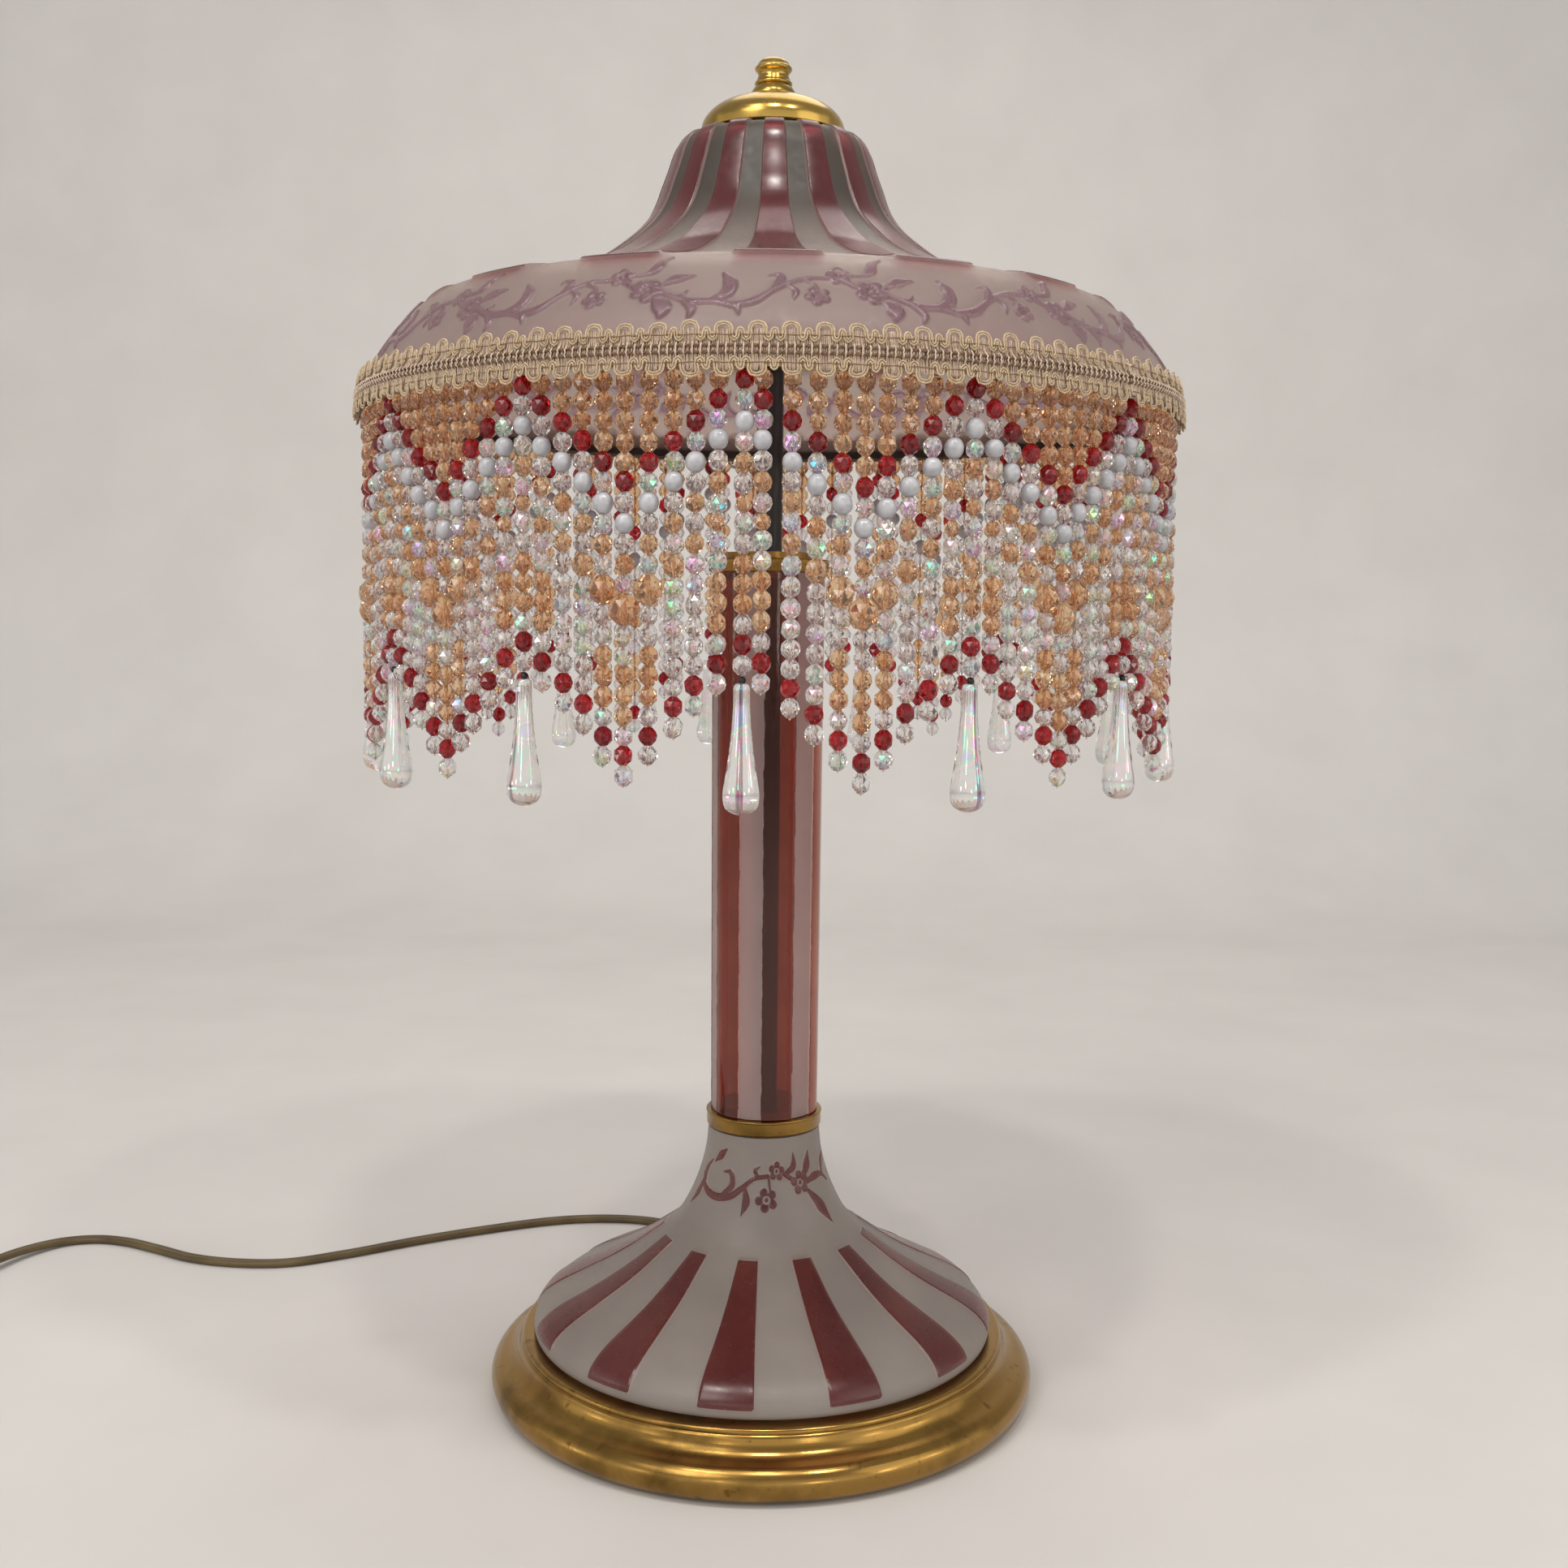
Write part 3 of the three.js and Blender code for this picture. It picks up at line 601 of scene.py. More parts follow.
def collar(node, material, flutes=0):
    """A turned band with a proud upper lip, a knurled face if flutes are given, and glass-centring bosses."""
    low, high = node_box(node)
    radius = high[0]
    boss = 2.5
    bottom, top = low[2] + boss, high[2] - boss
    outer = [(5.3, bottom - boss), (17, bottom - boss), (17, bottom), (radius - 1.1, bottom),
             (radius - 0.6, bottom + 0.15), (radius - 0.35, bottom + 0.6), (radius - 0.35, top - 1.7),
             (radius - 0.2, top - 1.3)]
    outer += arc((radius - 0.6, top - 0.62), 0.6, -50, 90, 8)
    outer += [(radius - 1.4, top), (17, top), (17, top + boss), (5.3, top + boss)]
    ring = spun(f"{node}_ring", outer, material, 128 if not flutes else 8 * flutes)
    if flutes:
        for vertex in ring.data.vertices:
            r = math.hypot(vertex.co.x, vertex.co.y) / MM
            if r > radius - 0.5 and bottom + 0.5 < vertex.co.z / MM < top - 1.2:
                swing = 1 - 0.12 / r * (1 + math.cos(flutes * math.atan2(vertex.co.y, vertex.co.x)))
                vertex.co.x *= swing
                vertex.co.y *= swing
    carry(ring, "stand", "brass", node)


def cap(material):
    low, high = node_box("shade_cap")
    radius, rim, neck = high[0], low[2] - 0.2, high[2]
    outer = [(radius - 1.4, rim), (radius - 0.4, rim + 0.05), (radius, rim + 0.5), (radius, rim + 2.6)]
    outer += spline([(radius - 0.1, rim + 3.4), (radius - 0.8, rim + 5.3), (24, rim + 7.7), (21.2, rim + 10),
                     (17.2, rim + 12), (12.8, rim + 13.1), (8.6, neck + 0.1)], 26)
    outer += [(3.4, neck + 0.1), (3.4, neck - 1.3), (9, neck - 1.7), (16, rim + 10.4), (20.5, rim + 8.0),
              (radius - 2.6, rim + 4.6), (radius - 1.6, rim)]
    dome = spun("cap_dome", outer, material, 128)
    carry(dome, "shade", "brass", "shade_cap")


def finial(material):
    low, high = node_box("finial")
    z = low[2]
    outer = [(3.3, z), (8.4, z), (8.6, z + 0.4)]
    outer += spline([(8.6, z + 1.4), (8.3, z + 2.2), (7.6, z + 3.4), (6.9, z + 4.3), (6.5, z + 4.8)], 9)
    outer += arc((6.15, z + 5.5), 0.85, -62, 66, 8)
    outer += [(6.2, z + 6.6), (6.15, z + 7.0)]
    outer += spline([(6.1, z + 7.3), (5.7, z + 8.2), (5.8, z + 9.2), (6.3, z + 9.9)], 8)
    outer += arc((6.0, z + 10.9), 0.9, -50, 62, 8)
    outer += spline([(6.05, z + 12), (5.6, z + 13), (4.4, z + 14.1), (2.4, z + 14.8), (0.001, z + 15)], 12)
    outer += [(0.001, high[2] - 7), (3.3, high[2] - 7)]
    knob = spun("finial_knob", outer, material, 96)
    carry(knob, "finial_nut", "brass", "finial")


def harp(material):
    """The bent wire with its boss and stud, the sleeves at its feet, and the seat of the shade."""
    wire = 1.6
    low, high = node_box("harp")
    seat_low, seat_high = node_box("shade_seat")
    leg, foot = high[0] - wire, low[2]
    crown = seat_low[2] - 4
    half = [(leg, foot), (leg, foot + 23.2), (leg, foot + 47.2), (leg - 4, crown - 8.5),
            (leg - 13, crown - 1.4)]
    bow = [(-x, 0, z) for x, z in half] + [(0, 0, crown)] + [(x, 0, z) for x, z in half[::-1]]
    soup = Soup()
    soup.add(*sweep(spline(bow, 120), ring_section(wire, 16), up=(0, 1, 0)))
    bent = soup.object("harp_wire", [material])
    stud = spun("harp_stud", [(0.001, crown), (5, crown), (5, crown + 3.9), (3, crown + 3.9), (3, high[2]),
                              (0.001, high[2])], material, 48, closed=False)
    seat = spun("seat_disc", [(3.1, seat_low[2]), (seat_high[0], seat_low[2]), (seat_high[0], seat_high[2]),
                              (3.1, seat_high[2])], material)
    for piece in (bent, stud, seat):
        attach(piece, "stand")
    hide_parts("harp")
    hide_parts("shade_seat")
    for side in ("left", "right"):
        low, high = node_box(f"harp_ferrule_{side}")
        radius = (high[1] - low[1]) / 2
        sleeve = spun(f"ferrule_sleeve_{side}", [
            (radius - 1.6, low[2]), (radius - 0.2, low[2]), (radius, low[2] + 0.3), (radius, high[2] - 3.6),
            (radius - 0.9, high[2]), (radius - 1.6, high[2])], material, 40)
        sleeve.data.transform(Matrix.Translation(((low[0] + high[0]) / 2 * MM, 0, 0)))
        carry(sleeve, f"ferrule_{side}", "brass", f"harp_ferrule_{side}")


def socket(material):
    """The pressed cap and the beaded shell of the lamp holder."""
    low, high = node_box("socket_cap")
    radius, z = high[0], low[2]
    cup = spun("socket_cup", [(5.1, z), (radius - 1.5, z), (radius - 0.4, z + 0.4), (radius, z + 1.5),
                              (radius, z + 7), (radius - 0.8, z + 7), (radius - 0.8, z + 1.8),
                              (radius - 1.8, z + 0.9), (5.1, z + 0.9)], material)
    low, high = node_box("socket_shell")
    radius, z, top = high[0], low[2], high[2]
    outer = [(radius - 0.8, z), (radius, z), (radius, z + 2.2)]
    for level in (z + 3, top - 4.6):
        outer += arc((radius - 0.5, level), 0.5, -80, 80, 7)
        outer.append((radius - 0.35, level + 1))
    outer += [(radius - 0.3, top - 1.2), (radius - 1, top), (9.6, top), (9.6, top - 0.8),
              (radius - 1.5, top - 0.8), (radius - 1.2, top - 1.5), (radius - 1.2, z + 2)]
    shell = spun("socket_barrel", outer, material)
    for piece, node in ((cup, "socket_cap"), (shell, "socket_shell")):
        carry(piece, "stand", "brass", node)


def turn_key(material):
    """The switch's shaft and flat key, which point away from the socket."""
    low, high = node_box("switch_knob")
    start, end = low[1], high[1]
    outline = [(0.001, start), (1.5, start), (1.5, end - 6), (4.3, end - 5.4), (4.6, end - 4.8),
               (4.6, end - 1.6), (3.6, end - 0.2), (2.6, end), (0.001, end)]
    key = spun("turn_key", outline, material, 48, closed=False)
    for vertex in key.data.vertices:
        vertex.co.x = min(max(vertex.co.x, -2.4 * MM), 2.4 * MM)
    stand_up = Matrix.Rotation(-math.pi / 2, 4, "X")
    key.data.transform(Matrix.Translation((0, 0, (low[2] + high[2]) / 2 * MM)) @ stand_up)
    carry(key, "switch_key", "phenolic", "switch_knob")


def lamp_bulb(glass, metal):
    """A small frosted flame bulb on its threaded base."""
    low, high = node_box("bulb_glass")
    bottom, tip, radius = low[2], high[2], high[0]
    flame = [(0.001, bottom), (5.9, bottom), (6.2, bottom + 0.4)]
    flame += spline([(6.6, bottom + 3), (9.6, bottom + 9), (radius, bottom + 18), (9.4, tip - 12),
                     (5.2, tip - 4.2), (2.4, tip - 0.9), (0.001, tip)], 30)
    envelope = spun("bulb_envelope", flame, glass, closed=False)
    low, high = node_box("bulb_base")
    radius, z = high[0], low[2]
    outline = [(0.001, z), (2.2, z), (3, z + 1.2)]
    for i in range(5):
        outline += arc((radius - 0.55, z + 3.2 + 1.6 * i), 0.55, -70, 70, 5)
    outline += [(radius, high[2] - 1), (radius, high[2]), (0.001, high[2])]
    thread = spun("bulb_thread", outline, metal, 64, closed=False)
    for piece, node in ((envelope, "bulb_glass"), (thread, "bulb_base")):
        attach(piece, "bulb")
        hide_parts(node)


PIPE_BORE = 3.4
PIPE_RADIUS = 5


def hidden_pieces():
    """Finishes for the pieces under the foot and inside the shade."""
    felt = Shader("wool_felt", Roughness=0.95, Sheen_Weight=0.4)
    felt.mottle(felt.noise(700, 4), (0.03, 0.05, 0.035), (0.07, 0.1, 0.07))
    felt.bump(felt.noise(1200, 3), 0.0004, 0.8)
    dress("felt_pad", felt.material)
    iron = Shader("cast_iron", Metallic=0.7, Roughness=0.7)
    iron.mottle(iron.noise(90, 5), (0.05, 0.045, 0.04), (0.12, 0.1, 0.09))
    iron.bump(iron.noise(300, 4), 0.0005, 0.7)
    dress("ballast_weight", iron.material)
    steel = Shader("zinc_steel", Metallic=1.0)
    grain = steel.noise(300, 4)
    steel.mottle(grain, (0.42, 0.43, 0.45), (0.6, 0.6, 0.6))
    steel.link(steel.spread(grain, 0.3, 0.7, 0.28, 0.42), "Roughness")
    for node in ("rod_washer", "rod_nut"):
        dress(node, steel.material)
    paint = Shader("black_enamel", Roughness=0.34, Coat_Weight=0.2)
    paint.mottle(paint.noise(130, 4), (0.006, 0.006, 0.007), (0.02, 0.019, 0.018), 0.3, 0.75)
    paint.bump(paint.noise(700, 3), 0.00008, 0.4)
    low, high = node_box("center_pipe")
    outline = [(PIPE_BORE, low[2]), (PIPE_RADIUS, low[2]), (PIPE_RADIUS, high[2]), (PIPE_BORE, high[2])]
    pipe = spun("pipe_tube", outline, paint.material)
    carry(pipe, "stand", "black_paint", "center_pipe")
    phenolic = Shader("phenolic", Roughness=0.4)
    phenolic.mottle(phenolic.noise(160, 4), (0.012, 0.01, 0.009), (0.03, 0.024, 0.02))
    dress("socket_body", phenolic.material)
    turn_key(phenolic.material)
    dress("inner_lead", cord_shader())
    bulb = Shader("bulb_frost", Roughness=0.35, Transmission_Weight=0.5, IOR=1.46)
    bulb.mottle(bulb.noise(80, 3), (0.86, 0.84, 0.8), (0.93, 0.92, 0.89))
    lamp_bulb(bulb.material, steel.material)


# ---- Relief glass -------------------------------------------------------------------------------


def smoothstep(x, low, high):
    t = np.clip((x - low) / (high - low), 0, 1)
    return t * t * (3 - 2 * t)


def limb(u, v, points, radii):
    """Signed distance, positive inside, of a tapering curved stroke."""
    line = np.array(spline(points, 4 * len(points)))
    width = np.interp(np.linspace(0, 1, len(line)), np.linspace(0, 1, len(radii)), radii)
    best = np.full(u.shape, -99.0)
    for (a, b), (ra, rb) in zip(zip(line[:-1], line[1:]), zip(width[:-1], width[1:])):
        d = b - a
        t = np.clip(((u - a[0]) * d[0] + (v - a[1]) * d[1]) / (d @ d), 0, 1)
        away = np.hypot(u - a[0] - t * d[0], v - a[1] - t * d[1])
        best = np.maximum(best, ra + (rb - ra) * t - away)
    return best


def flower(u, v, centre, size, turn=0.3):
    """Signed distance of a five-petal flower with a cut ring round its eye."""
    petals = np.full(u.shape, -99.0)
    for i in range(5):
        a = turn + 2 * math.pi * i / 5
        away = np.hypot(u - centre[0] - 0.63 * size * math.cos(a), v - centre[1] - 0.63 * size * math.sin(a))
        petals = np.maximum(petals, 0.36 * size - away)
    heart = np.hypot(u - centre[0], v - centre[1])
    petals = np.maximum(petals, 0.44 * size - heart)
    return np.maximum(np.minimum(petals, heart - 0.34 * size), 0.18 * size - heart)


def joined(parts):
    best = parts[0]
    for part in parts[1:]:
        best = np.maximum(best, part)
    return best


def grain(shape, seed, cells):
    """Smooth random waves over a grid, wrapping round in its second direction."""
    local = np.random.default_rng(seed)
    row = np.linspace(0, 1, shape[0])[:, None]
    column = np.linspace(0, 2 * math.pi, shape[1], endpoint=False)[None, :]
    total = np.zeros(shape)
    for _ in range(cells):
        around = local.integers(6, 90)
        along = local.uniform(4, 60)
        total += np.sin(around * column + along * row * 2 + local.uniform(0, 6.28)) / math.sqrt(cells)
    return total


def relief_shell(name, outer, inner, columns, raised, mask, material, extra=None):
    """A glass shell whose outer face stands proud where the raised field says so.

    outer and inner are dense profiles in mm, outer going up and inner coming back down. raised and
    mask are functions of (azimuth in radians, distance along the outer profile, z) in mm.
    """
    outer = np.asarray(outer, float)
    inner = np.asarray(inner, float)
    tangent = np.gradient(outer, axis=0)
    tangent /= np.linalg.norm(tangent, axis=1)[:, None]
    normal = np.stack([tangent[:, 1], -tangent[:, 0]], 1)
    run = np.concatenate([[0], np.cumsum(np.linalg.norm(np.diff(outer, axis=0), axis=1))])
    azimuth = np.linspace(0, 2 * math.pi, columns, endpoint=False)
    phi = np.broadcast_to(azimuth[None, :], (len(outer), columns))
    along = np.broadcast_to(run[:, None], phi.shape)
    height = np.broadcast_to(outer[:, 1][:, None], phi.shape)
    lift = raised(phi, along, height)
    radius = outer[:, 0][:, None] + normal[:, 0][:, None] * lift
    z = outer[:, 1][:, None] + normal[:, 1][:, None] * lift
    inside = np.broadcast_to(inner[:, 0][:, None], (len(inner), columns))
    inside_z = np.broadcast_to(inner[:, 1][:, None], inside.shape)
    radius = np.vstack([radius, inside])
    z = np.vstack([z, inside_z])
    turn = np.broadcast_to(azimuth[None, :], radius.shape)
    verts = np.stack([radius * np.sin(turn), -radius * np.cos(turn), z], 2).reshape(-1, 3) * MM
    soup = Soup()
    soup.add(verts, grid_faces(len(radius), columns, wrap_rows=True))
    obj = soup.object(name, [material])
    fields = {"cameo": mask}
    fields.update(extra or {})
    behind = np.interp(inner[:, 1], outer[:, 1], run)
    for key, function in fields.items():
        values = np.zeros(radius.shape)
        front = function(phi, along, height)
        values[: len(outer)] = front
        for row, place in enumerate(behind):
            values[len(outer) + row] = front[np.searchsorted(run, place).clip(0, len(outer) - 1)]
        layer = obj.data.attributes.new(key, "FLOAT", "POINT")
        layer.data.foreach_set("value", values.reshape(-1).astype(np.float32))
    obj.data.set_sharp_from_angle(angle=math.radians(65))
    return obj


def stripe_distance(phi, radius, count, offset, share):
    """Signed distance in mm from the edges of evenly spaced stripes, positive inside one."""
    period = 2 * math.pi / count
    away = np.abs((phi - math.radians(offset) + period / 2) % period - period / 2)
    return (share * period / 2 - away) * radius


def as_mask(distance, soft=2.0):
    """A field from 0 to 1 that crosses one half at the pattern's edge."""
    return np.clip(0.5 + distance / (2 * soft), 0, 1)


def glass_shader(name, light, dark, frost, gloss, through, edge_highlight=0.5):
    """Cased glass: frosted clear ground where the mask is low, satin coloured casing where it is high."""
    shader = Shader(name, IOR=1.48)
    mask = shader.field("cameo")
    edge = shader.spread(mask, 0.47, 0.53, 0, 1)
    # rim is a thin band along each casing edge, where a pale painted highlight goes.
    rim = shader.math("MULTIPLY", shader.spread(mask, 0.34, 0.46, 0, 1), shader.spread(mask, 0.5, 0.58, 1, 0))
    cloud = shader.noise(34, 4)
    fine = shader.noise(420, 3)
    ground = shader.ramp(cloud, [(0.3, light[0]), (0.7, light[1])])
    casing = shader.ramp(cloud, [(0.32, dark[0]), (0.68, dark[1])])
    colour = shader.mix(edge, ground, casing)
    # A colour paler than the ground for that band: a painted highlight on the relief edges.
    painted_highlight = tuple(min(1, c * 1.2) for c in light[1])
    colour = shader.mix(shader.math("MULTIPLY", rim, edge_highlight), colour, painted_highlight)
    shader.link(colour, "Base Color")
    ground_rough = shader.spread(fine, 0.3, 0.7, *frost)
    casing_rough = shader.spread(fine, 0.3, 0.7, *gloss)
    rough = shader.node("ShaderNodeMix", {0: edge, 2: ground_rough, 3: casing_rough}, data_type="FLOAT")
    shader.link(rough.outputs[0], "Roughness")
    shader.link(shader.spread(edge, 0, 1, *through), "Transmission Weight")
    pits = shader.math("MULTIPLY", shader.noise(1500, 2), shader.spread(edge, 0, 1, 1, 0.1))
    shader.bump(pits, 0.00004, 0.5)
    return shader.material


def inset(outer, wall):
    """The inner side of a shell, running back down."""
    tangent = np.gradient(np.asarray(outer, float), axis=0)
    tangent /= np.linalg.norm(tangent, axis=1)[:, None]
    normal = np.stack([tangent[:, 1], -tangent[:, 0]], 1)
    return (np.asarray(outer) - wall * normal)[::-1]


GLASS_WALL = 3.2
PERIODS = 13
SHADE_STRIPES = 16
SHADE_OFFSET = 1.0
STRIPE_SHARE = 0.54
CREST_RADIUS = 127
VINE_RADIUS = 138
VINE_TURN = 12.4
RELIEF = 0.85
ETCHED_BACK = 0.6


def shade_vine(u, v):
    """One repeat of the vine, u along and v down from the crest, in mm."""
    parts = [
        limb(u, v, [(-41, 27.5), (-35, 26), (-29.5, 21.6), (-24, 18), (-18.5, 15.9), (-12, 15.8)],
             [1.2, 1.5, 0.9, 0.8, 0.8, 0.7]),
        limb(u, v, [(-9, 16), (-5, 19), (-2, 20.4)], [0.7, 0.8, 0.9]),
        limb(u, v, [(2, 20.4), (9, 24), (14.5, 26), (20, 25.8), (25.7, 27.5)], [1.0, 0.9, 1.3, 1.2, 1.0]),
        limb(u, v, [(-29.5, 21.5), (-27, 18), (-27, 14.6), (-30.5, 15.2)], [0.6, 1.3, 1.0, 0.2]),
        limb(u, v, [(-20, 17), (-17, 19), (-16.4, 22)], [0.5, 0.5, 0.5]),
        limb(u, v, [(-25, 19.4), (-22.6, 21.4), (-23.2, 25)], [0.4, 0.9, 0.2]),
        limb(u, v, [(-6, 14.6), (-0.8, 13.4), (1.4, 11), (2.4, 7.8), (5.6, 5.6)], [0.5, 0.6, 1.7, 1.2, 0.15]),
        limb(u, v, [(4.4, 18.8), (8.6, 16.2), (14, 15)], [0.5, 1.9, 0.2]),
        limb(u, v, [(3, 25), (6, 28.4), (5.6, 32)], [0.7, 2.8, 0.5]),
        limb(u, v, [(12, 26.4), (14.6, 29), (14, 32)], [0.6, 1.3, 0.4]),
        limb(u, v, [(20, 25), (24.2, 22.6), (25, 18.4), (22.4, 13.8)], [0.5, 1.9, 2.0, 0.15]),
        limb(u, v, [(9.5, 23.4), (11.6, 23), (12.4, 21.6)], [0.5, 0.5, 0.15]),
        limb(u, v, [(26, 27), (27.6, 29), (28, 31)], [0.6, 0.9, 0.3]),
        flower(u, v, (0, 21), 5.0, 0.2),
        flower(u, v, (-9.2, 14.6), 4.0, 0.9),
        flower(u, v, (-16.2, 23.6), 3.8, 0.5),
    ]
    return joined(parts)


def shade():
    skirt = spline([(149.8, 373), (149.7, 376.5), (149, 381), (147.4, 385.4), (145.2, 389.4),
                    (142.4, 393.4), (136.9, 400.6), (131.6, 406.6), (128.6, 409.2)], 78)
    brim = spline([(127.4, 410.0), (125.4, 410.7), (112, 413.1), (96, 416.8), (85, 420.2), (75, 424.2),
                   (66, 428.4), (56.3, 435.4), (50.3, 440.6), (46.4, 445.3), (43.1, 451.7), (41.2, 457),
                   (38.6, 464), (36.8, 469.4), (35.0, 472.8), (32.4, 475.4), (29.0, 476.4)], 72)
    lip = [(20, 476.6), (9.6, 476.6), (9.1, 476.2)]
    outer = np.vstack([skirt, brim, lip])
    inner = np.vstack([[(9.1, 474.3), (9.6, 473.8), (27.4, 473.6)], inset(brim, GLASS_WALL)[4::4],
                       inset(skirt, GLASS_WALL)[4::4], [(146.6, 373.4), (147.0, 373)]])
    columns = 1456
    full = 2 * math.pi / PERIODS
    run = np.concatenate([[0], np.cumsum(np.linalg.norm(np.diff(outer, axis=0), axis=1))])
    crest_run = run[len(skirt)] - 0.2

    def stripes(phi, along, z):
        level = np.interp(along[:, 0], run, outer[:, 0])[:, None]
        side = stripe_distance(phi, np.maximum(level, 20), SHADE_STRIPES, SHADE_OFFSET, STRIPE_SHARE)
        return np.minimum(side, along - crest_run)

    def vine(phi, along, z):
        local = (phi - math.radians(VINE_TURN) + full * 0.5) % full
        best = np.full(phi.shape, -99.0)
        for shift in (-1, 0, 1):
            u = (local - full * 0.5 - shift * full) * VINE_RADIUS
            best = np.maximum(best, shade_vine(u, crest_run - along + 2.4))
        return best

    def raised(phi, along, z):
        """Stripe tops stand on the shell's skin; the ground between and below them is etched back."""
        bands = RELIEF * smoothstep(stripes(phi, along, z), -0.3, 0.3)
        leaves = RELIEF * smoothstep(vine(phi, along, z), -0.3, 0.3)
        return (np.maximum(bands, leaves) - ETCHED_BACK) * smoothstep(along, 0, 6)

    def blush(phi, along, z):
        """A rosy tint just below the end of each stripe, fading downwards over a few mm."""
        below = crest_run - along
        away = stripe_distance(phi, CREST_RADIUS, SHADE_STRIPES, SHADE_OFFSET, STRIPE_SHARE)
        side = smoothstep(away, -1.5, 3)
        return side * smoothstep(-below, -8, 0) ** 1.5 * (below > -0.5)

    def painted_ledge_shadow(phi, along, z):
        """A painted shadow along the step at the end of each stripe."""
        side = stripe_distance(phi, CREST_RADIUS, SHADE_STRIPES, SHADE_OFFSET, STRIPE_SHARE + 0.005)
        return as_mask(np.minimum(side, 0.5 - np.abs(crest_run - along - 0.1)), 0.6)

    fields = {"vine": lambda p, a, z: as_mask(vine(p, a, z)), "blush": blush, "painted_ledge_shadow": painted_ledge_shadow}
    glass = relief_shell("shade_glass_shell", outer, inner, columns, raised,
                         lambda p, a, z: as_mask(stripes(p, a, z)), shade_shader(), fields)
    carry(glass, "shade", "shade_glass", "shade_glass")


def shade_shader():
    """Etched clear glass below and between plum-cased stripes, with a thin mauve casing on the vine."""
    shader = Shader("shade_cameo", IOR=1.48)
    stripe = shader.spread(shader.field("cameo"), 0.47, 0.53, 0, 1)
    rim = shader.math("MULTIPLY", shader.spread(shader.field("cameo"), 0.34, 0.46, 0, 1),
                      shader.spread(shader.field("cameo"), 0.5, 0.58, 1, 0))
    vine = shader.spread(shader.field("vine"), 0.45, 0.55, 0, 1)
    vine_rim = shader.math("MULTIPLY", shader.spread(shader.field("vine"), 0.36, 0.47, 0, 1),
                           shader.spread(shader.field("vine"), 0.5, 0.58, 1, 0))
    cloud = shader.noise(30, 4)
    fine = shader.noise(420, 3)
    height = shader.node("ShaderNodeSeparateXYZ", {0: shader.place}).outputs["Z"]
    ground = shader.mix(shader.spread(height, 0.384, 0.41, 0, 1), (0.74, 0.6, 0.57), (0.7, 0.6, 0.54))
    ground = shader.mix(shader.spread(cloud, 0.3, 0.7, 0, 0.3), ground, (0.72, 0.58, 0.56))
    # Above the brim the ground is painted much darker: painted shade for the dark inside of the shade seen
    # through the glass.
    ground = shader.mix(shader.spread(height, 0.41, 0.45, 0, 1), ground, (0.2, 0.185, 0.145))
    # Below the braid's middle the ground is painted near black-brown: painted shade on the rim band behind
    # the braid.
    ground = shader.mix(shader.spread(height, 0.376, 0.3775, 1, 0), ground, (0.1, 0.05, 0.03))
    plum = shader.ramp(cloud, [(0.3, (0.23, 0.04, 0.05)), (0.7, (0.33, 0.07, 0.08))])
    colour = shader.mix(stripe, ground, plum)
    colour = shader.mix(shader.math("MULTIPLY", shader.field("blush"), 0.75), colour, (0.42, 0.1, 0.11))
    mauve = shader.ramp(cloud, [(0.3, (0.44, 0.22, 0.32)), (0.7, (0.52, 0.3, 0.38))])
    colour = shader.mix(shader.math("MULTIPLY", vine, 0.8), colour, mauve)
    colour = shader.mix(shader.math("MULTIPLY", vine_rim, 0.7), colour, (0.3, 0.14, 0.18))
    # A pale line along the stripes' edges: a painted highlight on the relief edges.
    colour = shader.mix(shader.math("MULTIPLY", rim, 0.5), colour, (0.75, 0.6, 0.55))
    # The step at each stripe's end is painted near black: a painted shadow.
    colour = shader.mix(shader.spread(shader.field("painted_ledge_shadow"), 0.4, 0.6, 0, 0.9), colour, (0.1, 0.03, 0.035))
    shader.link(colour, "Base Color")
    raised = shader.math("MAXIMUM", stripe, shader.math("MULTIPLY", vine, 0.7))
    frost = shader.spread(fine, 0.3, 0.7, 0.4, 0.54)
    gloss = shader.spread(fine, 0.3, 0.7, 0.19, 0.27)
    rough = shader.node("ShaderNodeMix", {0: raised, 2: frost, 3: gloss}, data_type="FLOAT")
    shader.link(rough.outputs[0], "Roughness")
    shader.link(shader.spread(stripe, 0, 1, 0.86, 0.8), "Transmission Weight")
    pits = shader.math("MULTIPLY", shader.noise(1300, 2), shader.spread(raised, 0, 1, 1, 0.1))
    shader.bump(pits, 0.00005, 0.6)
    return shader.material


def column():
    low, high = node_box("column_glass")
    bottom, top = low[2], high[2]
    rows = 208
    z = np.linspace(bottom, top, rows)
    outer = np.stack([np.interp(z, [bottom, top], [20.75, 21.45]), z], 1)
    wall = 2.6
    inner = np.array([(21.45 - wall, top), (21.1 - wall, 213), (20.75 - wall, bottom)])
    ragged = grain((rows, 360), 3, 40)

    def stripes(phi, along, z_here):
        side = stripe_distance(phi, 21, 6, 14, 0.57)
        wobble = 0.16 * ragged + 0.1 * np.sin(z_here * 1.9) * np.sin(z_here * 0.73)
        return side + wobble

    material = glass_shader("column_cameo", [(0.66, 0.5, 0.5), (0.75, 0.6, 0.58)],
                            [(0.4, 0.085, 0.045), (0.52, 0.13, 0.07)], frost=(0.34, 0.46), gloss=(0.04, 0.1),
                            through=(0.72, 0.96), edge_highlight=0.75)
    glass = relief_shell("column_tube", outer, inner, 360,
                         lambda p, a, zz: 0.5 * smoothstep(stripes(p, a, zz), -0.25, 0.25) - 0.5,
                         lambda p, a, zz: as_mask(stripes(p, a, zz), 1.2), material)
    carry(glass, "stand", "column_glass", "column_glass")


